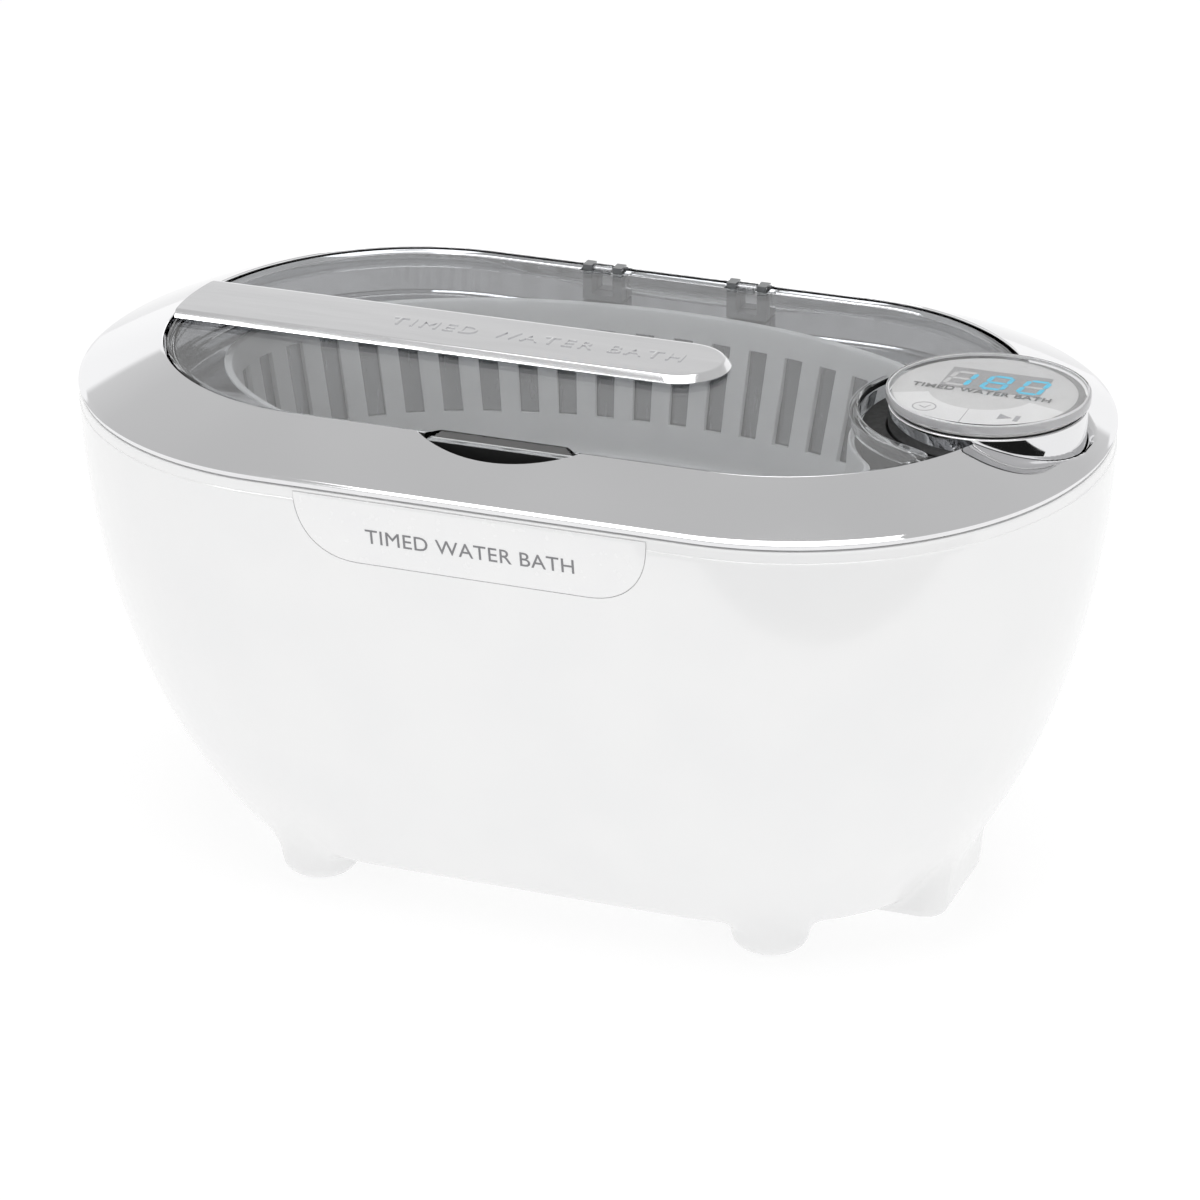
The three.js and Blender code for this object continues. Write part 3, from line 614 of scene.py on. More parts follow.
def body_distance(points):
    x, y, z = points.T
    body = smooth_max(outline_distance(body_outline(z), x, y), BASE_Z - z, BASE_EDGE)
    foot_radius = FOOT_BOTTOM + (FOOT_TOP - FOOT_BOTTOM) * (z - FOOT_RIM) / (BASE_Z + WALL - FOOT_RIM)
    foot = np.hypot(np.abs(x) - FOOT_X, np.abs(y) - FOOT_Y) - foot_radius
    foot = smooth_max(smooth_max(foot, FOOT_RIM - z, 3.0), z - 20, 1.0)
    end = BOSS_END + BOSS_DRAFT * (z - BOSS_BOTTOM) / (BOSS_TOP - BOSS_BOTTOM)
    dx = np.abs(x - (BOSS_START + end) / 2) - (end - BOSS_START) / 2 + BOSS_CORNER
    dy = np.abs(y) - BOSS_HALF + BOSS_CORNER
    boss = np.hypot(np.maximum(dx, 0), np.maximum(dy, 0)) + np.minimum(np.maximum(dx, dy), 0) - BOSS_CORNER
    boss = smooth_max(smooth_max(boss, BOSS_BOTTOM - z, 1.6), z - BOSS_TOP, 1.6)
    return smooth_min(smooth_min(body, foot, FOOT_BLEND), boss, BOSS_BLEND)


def settled(points, distance):
    """Moves points onto the surface where distance is 0."""
    step = 0.01
    for _ in range(8):
        value = distance(points)
        rise = [distance(points + step * axis) - distance(points - step * axis) for axis in np.eye(3)]
        slope = np.stack(rise, 1) / (2 * step)
        move = (value / np.maximum((slope**2).sum(1), 0.05))[:, None] * slope
        length = np.linalg.norm(move, axis=1, keepdims=True)
        points = points - move * np.minimum(1, 0.8 / np.maximum(length, 1e-9))
    return points


def housing_foundation():
    """The underside with its feet and boss, up to CUT_Z, as an open sheet."""
    ring = stations(40, 12)
    top = CUT_Z + 4
    levels = np.linspace(BASE_Z, top, 12)
    rough = loft("foundation", [ring.ring(body_outline(z), z) for z in levels])
    foot = [(0, FOOT_RIM), (7.6, FOOT_RIM), (9.8, 8), (9.8, 18), (0, 18)]
    parts = [turned("foot", foot, x, y, 24) for x, y in FEET]
    parts.append(box_mesh("boss", (BOSS_START, -BOSS_HALF, BOSS_BOTTOM), (BOSS_END, BOSS_HALF, BOSS_TOP)))
    outward(merged(rough, *parts))
    change = rough.modifiers.new("voxels", "REMESH")
    change.mode = "VOXEL"
    change.voxel_size = 1.0 * MM
    baked(rough)
    points = np.array([v.co for v in rough.data.vertices]) / MM
    points = settled(points, lambda p: np.maximum(body_distance(p), p[:, 2] - top))
    rough.data.vertices.foreach_set("co", (points * MM).ravel())
    with editing(rough.data) as mesh:
        bmesh.ops.bisect_plane(
            mesh, geom=[*mesh.verts, *mesh.edges, *mesh.faces], dist=1e-6,
            plane_co=(0, 0, CUT_Z * MM), plane_no=(0, 0, 1), clear_outer=True,
        )
    return rough


def boundary_loop(mesh):
    """Indices of the vertices round a bmesh's one open edge, in order."""
    neighbours = {}
    for edge in mesh.edges:
        if edge.is_boundary:
            p, q = edge.verts
            neighbours.setdefault(p.index, []).append(q.index)
            neighbours.setdefault(q.index, []).append(p.index)
    order, last = [next(iter(neighbours))], None
    while len(order) < len(neighbours):
        following = next(n for n in neighbours[order[-1]] if n != last)
        last = order[-1]
        order.append(following)
    return order


STEP_Z = SEAM_Z - 2.7  # a shallow step runs round the housing here


def housing():
    piece = housing_foundation()
    piece.name = "housing_skin"
    mesh = bmesh.new()
    mesh.from_mesh(piece.data)
    mesh.verts.ensure_lookup_table()
    mesh.verts.index_update()
    order = boundary_loop(mesh)
    edge = np.array([mesh.verts[i].co for i in order]) / MM
    around = stations_through(edge, body_outline(CUT_Z))
    inner_low = BASE_Z + WALL
    outer = [(0, z) for z in np.linspace(CUT_Z, STEP_Z - 1.2, 30)]
    outer += [(0, STEP_Z - 0.25), (-0.06, STEP_Z - 0.02), (-0.22, STEP_Z + 0.12), (-0.26, STEP_Z + 0.4)]
    outer += [(-0.26, SEAM_Z - 0.9), (-0.3, SEAM_Z - 0.45), (-0.45, SEAM_Z - 0.15), (-0.75, SEAM_Z)]
    inner = [(-WALL, SEAM_Z)] + [(-WALL, z) for z in np.linspace(SEAM_Z - 1, inner_low, 24)]
    rings = [around.ring(body_outline(z, grow), z) for grow, z in outer + inner]
    shell = loft("shell", rings, capped=False)
    with editing(shell.data) as top:
        top.verts.ensure_lookup_table()
        top.faces.new(top.verts[-len(order):])
    for i, place in zip(order, rings[0]):
        mesh.verts[i].co = place * MM
    mesh.to_mesh(piece.data)
    mesh.free()
    merged(piece, shell)
    outward(piece)
    carved(piece, inlet_oval("inlet_collar", 9.9, 5.8, INLET_HIGH[1] - 12, None), "UNION")
    cutters = [
        prism("plate_recess", rounded_rectangle(43.3, 32.3, 7.3), BASE_Z - 1, BASE_Z + 2.6),
        inlet_oval("inlet_hole", 8.3, 4.2, INLET_HIGH[1] - 14, INLET_HIGH[1] + 8),
        label_block("label_recess", 0.14, 0.42, -4),
    ]
    hole = rectangle(0, PAD_RADIUS + GAP, -1, PAD_TOP + GAP)
    cutters += [turned("pad_hole", hole, x, y, 48) for x, y in FEET]
    carved(piece, merged(*cutters))
    carved(piece, prism("plate_hole", rounded_rectangle(39, 28, 4), BASE_Z, BASE_Z + 12))
    finished(piece, "base", "housing_white", "lower_housing", sharp=30)


def inlet_oval(name, half_width, half_height, y0, y1, steps=16):
    """A flat-sided oval in the XZ plane about the inlet, pushed from y0 to y1, or into the rear wall."""
    middle = (INLET_LOW + INLET_HIGH) / 2
    reach = half_width - half_height
    angle = np.linspace(-pi / 2, pi / 2, steps)
    x, z = reach + half_height * np.cos(angle), half_height * np.sin(angle)
    x, z = np.concatenate([x, -x]) + middle[0], np.concatenate([z, -z]) + middle[2]
    end = body_outline(z).b - 1.0 if y1 is None else y1
    return loft(name, [np.column_stack([x, np.broadcast_to(y, x.shape), z]) for y in (y0, end)])


# ---- nameplate ----
LABEL_HALF, LABEL_FLAT, LABEL_TOP, LABEL_DEPTH = 39.0, 25.0, 0.8, 15.1


def label_rings(grow, count=24):
    """Rows (z, half width) down the nameplate: a straight top, and sides that curve in to the bottom."""
    power = 2.3
    rows = [(SEAM_Z - LABEL_TOP + grow, LABEL_HALF + grow)]
    for v in np.sin(np.linspace(0.06, pi / 2, count)):
        z = SEAM_Z - LABEL_TOP - (LABEL_DEPTH + grow) * v
        half = LABEL_FLAT + grow + (LABEL_HALF - LABEL_FLAT) * (1 - v**power) ** (1 / power)
        rows.append((z, half))
    return rows


def skin_y(z):
    return -body_outline(z).b


def label_block(name, grow, behind, front, columns=24):
    """The nameplate's outline as a block from front to behind, both measured inwards from the skin."""
    rows = label_rings(grow)
    share = np.linspace(-1, 1, columns)
    faces = []
    points = []
    for side in (front, behind):
        for z, half in rows:
            points += [(half * s, skin_y(z) + side, z) for s in share]
    count = len(rows) * columns
    sheet = grid_faces(len(rows), columns, wrap_columns=False)
    faces += sheet + [tuple(i + count for i in reversed(f)) for f in sheet]
    rim = [*range(columns)]
    rim += [r * columns + columns - 1 for r in range(1, len(rows))]
    rim += [count - 1 - i for i in range(1, columns)]
    rim += [r * columns for r in range(len(rows) - 2, 0, -1)]
    for here, following in zip(rim, rim[1:] + rim[:1]):
        faces.append((here, here + count, following + count, following))
    return solid(name, points, faces)


WORDS = "TIMED WATER BATH"


def words(name, size, spacing, height, width, place, weight=0.0):
    """WORDS in a plain font, raised by height and fitted to width; place maps each point, in metres."""
    curve = bpy.data.curves.new(name, "FONT")
    curve.body = WORDS
    curve.size = size * MM
    curve.space_character = spacing
    curve.offset = weight * MM
    curve.align_x, curve.align_y = "CENTER", "CENTER"
    curve.resolution_u = 4
    thing = make_object(name, curve)
    bpy.context.view_layer.update()
    mesh = bpy.data.meshes.new_from_object(thing.evaluated_get(bpy.context.evaluated_depsgraph_get()))
    bpy.data.objects.remove(thing)
    with editing(mesh) as shape:
        bmesh.ops.remove_doubles(shape, verts=shape.verts, dist=SAME_PLACE)
        made = bmesh.ops.extrude_face_region(shape, geom=shape.faces[:])
        moved = [v for v in made["geom"] if isinstance(v, bmesh.types.BMVert)]
        bmesh.ops.translate(shape, vec=(0, 0, height * MM), verts=moved)
    across = [v.co.x for v in mesh.vertices]
    scale = width * MM / (max(across) - min(across))
    for v in mesh.vertices:
        v.co = place(v.co.x * scale, v.co.y * scale, v.co.z)
    return make_object(name, mesh)


def nameplate():
    plate = label_block("nameplate_film", 0.0, 0.35, 0.03)
    softened(plate, 0.12)
    baked(plate)
    finished(plate, "base", "label_white", "nameplate")

    def on_plate(x, y, height):
        z = SEAM_Z - 9.3 + y / MM
        return x, (skin_y(z) + 0.03) * MM - height, z * MM

    letters = words("nameplate_words", 5.3, 1.05, 0.06, 46.3, on_plate)
    finished(letters, "base", "label_white", material="ink_grey")


# ---- bezel ----
LIP = 1.2
LEDGE_Z, LEDGE_THICK = 109.7, 1.1
NOTCH_RADIUS, NOTCH_Y, NOTCH_FLOOR = 30.7, -30.0, 112.4
COLLAR_RADIUS, COLLAR_TOP = 26.6, 114.6
SLOPE_LOW = SEAM_Z + GAP + LIP


def slope_height(share):
    return SLOPE_LOW + (CREST_Z - SLOPE_LOW) * share + 1.2 * share * (1 - share)


def dish_depth(x, y):
    """How far the bezel is scooped down round the display head."""
    angle = np.degrees(np.abs(np.arctan2(y, x - HEAD_X)))
    radius = np.hypot(x - HEAD_X, y)
    deepest = np.maximum(1.6 - 0.018 * angle, 0)
    edge = 22.6 + 3.7 * np.exp(-(((angle - 62) / 17) ** 2))
    inner = CUP_RADIUS + GAP
    share = np.clip((edge - radius) / (edge - inner), 0, 1)
    return deepest * share * share * (3 - 2 * share)


def bezel():
    around = stations(260, 50)
    lip = [(-0.6, 0), (-0.4, 0.05), (-0.3, 0.2), (-0.18, 0.5), (-0.06, 0.8), (0, 0.97), (-0.06, 1.12)]
    rings = [around.ring(grown(SEAM, grow), SEAM_Z + GAP + up) for grow, up in lip + [(-0.3, 1.24)]]
    for share in np.linspace(0.035, 0.985, 34):
        rings.append(around.ring(between(SEAM, CREST, share), slope_height(share)))
    for grow, down in [(0.1, 0.0), (-0.0, 0.08), (-0.08, 0.22), (-0.1, 0.45)]:
        rings.append(around.ring(grown(CREST, grow), CREST_Z - down))
    for ring in rings:
        ring[:, 2] -= dish_depth(ring[:, 0], ring[:, 1])
    rings += [around.ring(grown(CREST, -0.1), z) for z in np.linspace(CREST_Z - 2, LEDGE_Z, 5)]
    rings += [
        around.ring(OPENING, LEDGE_Z),
        around.ring(OPENING, LEDGE_Z - LEDGE_THICK),
        around.ring(grown(CREST, 2), LEDGE_Z - LEDGE_THICK),
        around.ring(grown(CREST, 2.2), CREST_Z - 4.2),
        around.ring(grown(SEAM, -2.4), SEAM_Z + GAP + 0.3),
        around.ring(grown(SEAM, -1.8), SEAM_Z + GAP),
    ]
    piece = outward(loft("bezel", rings, looped=True))
    carved(piece, turned("head_hole", rectangle(0, CUP_RADIUS + GAP, 100, 130), HEAD_X, 0, 200))
    carved(piece, notch_cutter())
    finished(piece, "base", "bezel_chrome", "top_bezel", sharp=35)
    collar()
    notch_liner()


def front_slope(y):
    """Height of the bezel's slope on its straight front side."""
    share = (SEAM.b + y) / (SEAM.b - CREST.b)
    return slope_height(share)


def notch_cutter():
    """A round cutter whose top flares to leave a soft edge where it meets the slope."""
    edge = 0.35
    angle = np.linspace(0, 2 * pi, 240, endpoint=False)
    rings = []
    for out, down in [(0.35, -1), (0.35, edge), (0.43, 0.18), (0.62, 0.02), (0.9, -0.1), (0.9, -9)]:
        radius = NOTCH_RADIUS + out
        x, y = radius * np.cos(angle), NOTCH_Y + radius * np.sin(angle)
        if down == -1:
            z = np.full(len(x), NOTCH_FLOOR - 1.5)
        else:
            z = front_slope(np.minimum(y, -50)) - down
        rings.append(np.stack([x, y, z], 1))
    return loft("notch_cutter", rings)


def notch_liner():
    """The pocket under the lid's front edge: a floor, a curved wall and a straight wall behind, near black
    as painted shade.
    """
    angle = np.radians(np.linspace(-123, -57, 90))
    inner_y, floor = -CREST.b + 0.1, NOTCH_FLOOR
    rings = []
    for t in angle:
        inner = (inner_y - NOTCH_Y) / sin(t)
        wall = NOTCH_RADIUS + 0.3
        top = front_slope(min(NOTCH_Y + wall * sin(t), inner_y)) - 0.3
        back, high = inner - 0.35, LID_TOP - 1.5
        section = [
            (inner, floor), (max(wall - 1.4, inner), floor), (max(wall - 0.4, inner), floor + 0.4),
            (wall - 0.04, floor + 1.2), (wall, top), (wall + 0.3, top),
            (wall + 0.3, floor - 1), (back, floor - 1), (back, high), (inner, high),
        ]
        rings.append(stood(section, t, y=NOTCH_Y))
    piece = loft("notch_liner", rings)
    # near black instead of chrome: painted shade in the pocket under the lid
    finished(piece, "base", "bezel_chrome", "top_bezel", material="painted_shade_and_reflection")


def collar():
    """The raised seat round the inner side of the display head, near black as a painted dark reflection in
    place of the bezel's chrome.
    """
    angle = np.radians(np.linspace(76, 284, 160))
    low = BEZEL_LOW[2] + 0.4
    inner = CUP_RADIUS + GAP
    profile = [(inner, low), (inner, COLLAR_TOP - 0.1), (COLLAR_RADIUS, COLLAR_TOP), (COLLAR_RADIUS, low)]
    profile = rounded(profile + [(inner + 1, low)], [0, 0.3, 0.5, 0, 0])
    piece = loft("head_collar", [stood(profile, t, HEAD_X) for t in angle])
    # near black: a painted dark reflection where the chrome would mirror a dark surround
    finished(piece, "base", "bezel_chrome", "top_bezel", material="painted_shade_and_reflection")


# ---- bitten outlines, for the lid and the basket ----
def bitten_radius(outline, bite, reach, angle):
    """Distance from the part's centre to an outline with a hollow for the display head, along each angle."""
    low, high = np.zeros(len(angle)), np.full(len(angle), 130.0)
    for _ in range(40):
        middle = (low + high) / 2
        x, y = middle * np.cos(angle), middle * np.sin(angle)
        inside = smooth_max(outline_distance(outline, x, y), bite - np.hypot(x - HEAD_X, y), reach) < 0
        low, high = np.where(inside, middle, low), np.where(inside, high, middle)
    return low


def bitten_ring(outline, bite, reach, angle, z):
    radius = bitten_radius(outline, bite, reach, angle)
    return np.stack([radius * np.cos(angle), radius * np.sin(angle), np.full(len(angle), z)], 1)


def even_angles(outline, bite, reach, count):
    """Angles whose points lie evenly along a bitten outline, and its length."""
    dense = np.linspace(-pi, pi, 6001)
    ring = bitten_ring(outline, bite, reach, dense, 0)
    travelled = np.concatenate([[0], np.cumsum(np.linalg.norm(np.diff(ring, axis=0), axis=1))])
    wanted = np.linspace(0, travelled[-1], count, endpoint=False)
    return np.interp(wanted, travelled, dense), travelled[-1]


# ---- lid ----
LID_BITE, LID_REACH = 27.3, 9.0
LID_CLEAR, LID_THICK, LID_SKIRT = 0.7, 1.8, 1.4
LID_TOP = 118.4


def lid():
    rim = grown(CREST, -LID_CLEAR)
    angle, _ = even_angles(rim, LID_BITE, LID_REACH, 520)
    top, bottom = LID_TOP, LID_LOW[2]
    profile = [(-LID_SKIRT, top - LID_THICK - 0.6), (-LID_SKIRT, bottom + 0.2), (-LID_SKIRT + 0.3, bottom),
               (-0.3, bottom), (0, bottom + 0.3), (0, top - 0.5), (-0.15, top - 0.15), (-0.5, top)]
    under = [(-LID_SKIRT - 0.6, top - LID_THICK), (-LID_SKIRT - 0.15, top - LID_THICK - 0.15)]
    rings = [bitten_ring(grown(rim, d), LID_BITE - d, LID_REACH, angle, z) for d, z in under + profile]
    piece = outward(loft("lid_window", rings))
    carved(piece, grip_cutter(rim))
    carved(piece, hinge_cutter())
    finished(piece, "lid", "smoke_clear", "lid_shell", "lid_rim", "lid_rim_rear", sharp=40)
    lid_knuckles()


def grip_cutter(rim):
    """A wedge that slopes the lid's front edge where a fingertip lifts it."""
    out = -rim.b - 1
    top_y, low_z = -rim.b + 2.6, LID_TOP - 2.4
    inner, outer = 14.0, 18.0
    points = [
        (-inner, top_y, LID_TOP + 0.01), (inner, top_y, LID_TOP + 0.01), (outer, out, LID_TOP + 0.01),
        (-outer, out, LID_TOP + 0.01), (-inner, top_y, LID_TOP + 3), (inner, top_y, LID_TOP + 3),
        (outer, out, LID_TOP + 3), (-outer, out, LID_TOP + 3), (outer, out, low_z), (-outer, out, low_z),
    ]
    faces = [(0, 1, 8, 9), (0, 9, 3), (1, 2, 8), (3, 9, 8, 2), (4, 7, 6, 5), (0, 4, 5, 1), (1, 5, 6, 2),
             (2, 6, 7, 3), (3, 7, 4, 0)]
    return solid("grip_cutter", points, faces)


def hinge_sides():
    return [("left", span("hinge_bracket_left")), ("right", span("hinge_bracket_right"))]


def hinge_cutter():
    low, high = LID_LOW[2] - 1, LID_TOP + 1
    places = [(start[0] - 0.4, end[0] + 0.4) for _, (start, end) in hinge_sides()]
    return merged(*[box_mesh("hinge_gap", (left, 51.0, low), (right, 58, high)) for left, right in places])


def lid_knuckles():
    """The tongue of each hinge, which turns on its pin."""
    radius = 1.2
    for side, (low, high) in hinge_sides():
        pin_low, pin_high = span("hinge_pin_" + side)
        y, z = (pin_low[1] + pin_high[1]) / 2, (pin_low[2] + pin_high[2]) / 2
        middle = (low[0] + high[0]) / 2
        angle = np.radians(np.linspace(-90, 175, 30))
        outline = [(y + radius * cos(t), z + radius * sin(t)) for t in angle]
        outline += [(50.4, LID_TOP), (50.4, LID_TOP - LID_THICK)]
        rings = [np.array([(x, py, pz) for py, pz in outline]) for x in (middle - 2.2, middle + 2.2)]
        piece = softened(loft("lid_knuckle_" + side, rings), 0.15)
        finished(piece, "lid", "smoke_clear", "lid_shell")


# ---- strip ----
STRIP_HALF, STRIP_BEVEL = 11.4, 1.2


def strip_ring(inset, z):
    """A round right end, straight sides, and a left end that follows the lid."""
    right = STRIP_HIGH[0]
    half = STRIP_HALF - inset
    rim = grown(CREST, -LID_CLEAR - 0.1)
    points = [
        (right - STRIP_HALF + half * cos(t), half * sin(t), z)
        for t in np.linspace(-pi / 2, pi / 2, 48)
    ]
    for y in np.linspace(half, -half, 24):
        points.append((-(rim.a - rim.e + rim.e * sqrt(1 - (y / rim.b) ** 2)), y, z))
    return np.array(points)


def strip():
    low, top = STRIP_LOW[2], STRIP_HIGH[2]
    profile = [(0.3, low), (0.05, low + 0.15), (0, low + 0.35), (STRIP_BEVEL - 0.12, top - 0.22),
               (STRIP_BEVEL + 0.1, top - 0.06), (STRIP_BEVEL + 0.5, top)]
    piece = loft("strip_bar", [strip_ring(inset, z) for inset, z in profile])
    finished(piece, "lid", "strip_satin", "lid_strip", sharp=20)

    def on_strip(x, y, height):
        return x - 13 * MM, y, (top - 0.02) * MM + height

    letters = words("strip_words", 6.0, 1.25, 0.24, 68, on_strip)
    finished(softened(letters, 0.05), "lid", "strip_satin", sharp=25)


# ---- basket ----
BASKET_BITE, BASKET_REACH = 29.4, 8.0
BASKET_FLOOR_OUT = Outline(77.4, 44.2, 76.9)
BASKET_RIM_OUT = Outline(82.8, 50.0, 82.3)
BASKET_RIM_Z = 110.0
SLOT_PITCH, SLOT_SHARE, SLOT_LOW, SLOT_HIGH = 8.9, 0.54, 84.3, 104.3


def basket_outline(z, grow=0.0):
    share = (z - BASKET_FLOOR_Z) / (BASKET_RIM_Z - BASKET_FLOOR_Z)
    return grown(between(BASKET_FLOOR_OUT, BASKET_RIM_OUT, share), grow)


def basket():
    """One moulded sheet: slotted wall, flange and floor, thickened inwards."""
    middle = basket_outline((SLOT_LOW + SLOT_HIGH) / 2)
    _, length = even_angles(middle, BASKET_BITE, BASKET_REACH, 10)
    cells = round(length / SLOT_PITCH)
    per_cell = 8
    slot_columns = round(per_cell * SLOT_SHARE)
    angle, _ = even_angles(middle, BASKET_BITE, BASKET_REACH, cells * per_cell)
    heights = [*np.linspace(BASKET_FLOOR_Z + 2.2, SLOT_LOW, 5), *np.linspace(SLOT_LOW, SLOT_HIGH, 6)[1:]]
    heights += [*np.linspace(SLOT_HIGH, BASKET_RIM_Z - 0.8, 4)[1:]]
    floor, top, rim = BASKET_FLOOR_Z, BASKET_RIM_Z, BASKET_RIM_OUT
    rows = [(basket_outline(floor, -2.2), floor), (basket_outline(floor, -0.7), floor + 0.6)]
    rows += [(basket_outline(z), z) for z in heights]
    rows += [(grown(rim, 0.15), top - 0.2), (grown(rim, 0.6), top), (Outline(84.6, 51.5, 84.1), top)]
    rings = []
    for outline, z in rows:
        bite = BASKET_BITE - (outline.a - rim.a) * 0.3
        rings.append(bitten_ring(outline, bite, BASKET_REACH, angle, z))
    first = 2 + heights.index(SLOT_LOW)
    last = 2 + heights.index(SLOT_HIGH)
    faces = []
    for face in grid_faces(len(rings), len(angle)):
        row, column = divmod(face[0], len(angle))
        x, y = rings[row][column][:2]
        in_slot = first <= row < last and column % per_cell < slot_columns
        by_head = hypot(x - HEAD_X, y) < BASKET_BITE + 4
        if not in_slot or by_head:
            faces.append(face)
    wall = outward(solid("basket_bowl", np.concatenate(rings), faces))
    thick = wall.modifiers.new("thickness", "SOLIDIFY")
    thick.thickness = 1.4 * MM
    thick.offset = -1
    thick.use_even_offset = True
    softened(wall, 0.22, 35)
    baked(wall)
    finished(wall, "basket", "basket_white", "basket", sharp=35)
    basket_floor(angle)


def basket_floor(angle):
    """The floor, with two rows of slots across it."""
    edge = bitten_ring(basket_outline(BASKET_FLOOR_Z, -2.4), BASKET_BITE + 1.6, BASKET_REACH, angle, 0)
    curve = bpy.data.curves.new("basket_floor", "CURVE")
    curve.dimensions = "2D"
    curve.fill_mode = "BOTH"
    curve.extrude = 0.8 * MM
    curve.bevel_depth = 0.2 * MM

    def closed_line(points):
        line = curve.splines.new("POLY")
        line.points.add(len(points) - 1)
        for place, (x, y) in zip(line.points, points):
            place.co = (x * MM, y * MM, 0, 1)
        line.use_cyclic_u = True

    closed_line(edge[:, :2])
    for x in np.arange(-54, 50, 12):
        for side in (-1, 1):
            hole = rounded_rectangle(2.0, 8.0, 1.9, 4)
            closed_line([(px + x, py + side * 12) for px, py in hole])
    thing = make_object("basket_floor", curve)
    thing.location = (0, 0, (BASKET_FLOOR_Z + 1.0) * MM)
    bpy.context.view_layer.update()
    mesh = bpy.data.meshes.new_from_object(thing.evaluated_get(bpy.context.evaluated_depsgraph_get()))
    mesh.transform(thing.matrix_world)
    bpy.data.objects.remove(thing)
    finished(make_object("basket_floor", mesh), "basket", "basket_white", "basket")


# ---- tank ----
def tank():
    around = stations(140, 10)
    low = Outline(78.0, 44.8, 77.5)
    floor = TANK_LOW[2] + 0.8
    sheet = 0.8
    flange = TANK_HIGH[2]

    def wall(share, grow=0.0):
        return grown(between(low, OPENING, share), grow), floor + 7 + (flange - 1 - floor - 7) * share

    inner = [(grown(low, -30), floor), (grown(low, -7), floor), (grown(low, -4), floor + 0.6),
             (grown(low, -2), floor + 2), (grown(low, -0.6), floor + 4.2), (low, floor + 7)]
    inner += [wall(share) for share in np.linspace(0.1, 1, 14)]
    inner += [(grown(OPENING, 0.3), flange - 0.3), (grown(OPENING, 0.8), flange)]
    outer = [(grown(OPENING, 5.4), flange), (grown(OPENING, 5.4), flange - sheet)]
    outer += [(grown(OPENING, 1.2), flange - sheet)]
    outer += [wall(share, sheet) for share in (1, 0.6, 0.3, 0)]
    outer += [(grown(low, -1.4), floor + 1.2)] + [(grown(low, grow), floor - sheet) for grow in (-7, -30)]
    piece = loft("tank_shell", [around.ring(outline, z) for outline, z in inner + outer])
    finished(piece, "base", "tank_steel", "tank", sharp=40)


# ---- display head ----
def cup():
    inner, floor = CUP_RADIUS - 1.4, CUP_LOW + 1.5
    profile = [(0, CUP_LOW), (CUP_RADIUS, CUP_LOW), (CUP_RADIUS, CUP_TOP), (inner, CUP_TOP)]
    profile = rounded(profile + [(inner, floor), (0, floor)], [0, 0.5, 0.35, 0.3, 0.5, 0])
    finished(turned("head_cup", profile, HEAD_X, 0, 200), "base", "bezel_chrome", "display_cup")


def lens():
    low, top = LENS_LOW, LENS_TOP
    profile = rounded(
        [(0, low), (LENS_RADIUS - 0.2, low), (LENS_RADIUS, low + 0.5), (LENS_RADIUS, top), (0, top)],
        [0, 0.2, 0.2, 0.5, 0],
        5,
    )
    finished(turned("head_lens", profile, HEAD_X, 0, 200), "base", "clear_acrylic", "display_lens", sharp=25)
    inner, outer = LENS_RADIUS - 0.8, LENS_RADIUS - 0.5
    ring = rectangle(inner, outer, low + 0.25, top - 0.5)
    finished(turned("lens_edge", ring, HEAD_X, 0, 200), "base", "face_print", material="seat_grey")


def sector(name, centre, inner, outer, start, end, low, high, steps=60):
    """A flat piece between a circle about centre and a circle about the display head, between two angles."""
    rings = []
    for t in np.radians(np.linspace(start, end, steps)):
        ray = np.array([cos(t), sin(t)])
        lean = ray @ np.array(centre)
        reach = sqrt(lean**2 + outer**2 - np.dot(centre, centre)) - lean
        near, far = (np.array([HEAD_X, 0]) + centre + ray * r for r in (inner, max(reach, inner + 0.01)))
        rings.append(np.array([(*p, z) for p, z in rectangle(near, far, low, high)]))
    return loft(name, rings)


def digit(name, keys, x, y, width, height, z, material, lean=0.12):
    """Some of the seven bars of a slanted digit, with pointed ends."""
    thick, gap = 1.05, 0.16
    half = thick / 2
    ends = {
        "a": ((0, height), (width, height)), "b": ((width, height), (width, height / 2)),
        "c": ((width, height / 2), (width, 0)), "d": ((0, 0), (width, 0)),
        "e": ((0, 0), (0, height / 2)), "f": ((0, height / 2), (0, height)),
        "g": ((0, height / 2), (width, height / 2)),
    }
    bars = []
    for key in keys:
        start, end = (np.array(p, float) for p in ends[key])
        along = (end - start) / np.linalg.norm(end - start)
        across = np.array([-along[1], along[0]])
        start, end = start + along * gap, end - along * gap
        outline = [
            start, start + along * half - across * half, end - along * half - across * half,
            end, end - along * half + across * half, start + along * half + across * half,
        ]
        outline = [(x + px + lean * py, y + py) for px, py in outline]
        bars.append(prism(name + key, outline, z, z + 0.05))
    piece = merged(*bars)
    piece.name = name
    finished(piece, "base", "led_grey", material=material)


DIAL = (-1.3, 1.2)  # centre of the touch zones' inner edge, from the head's axis


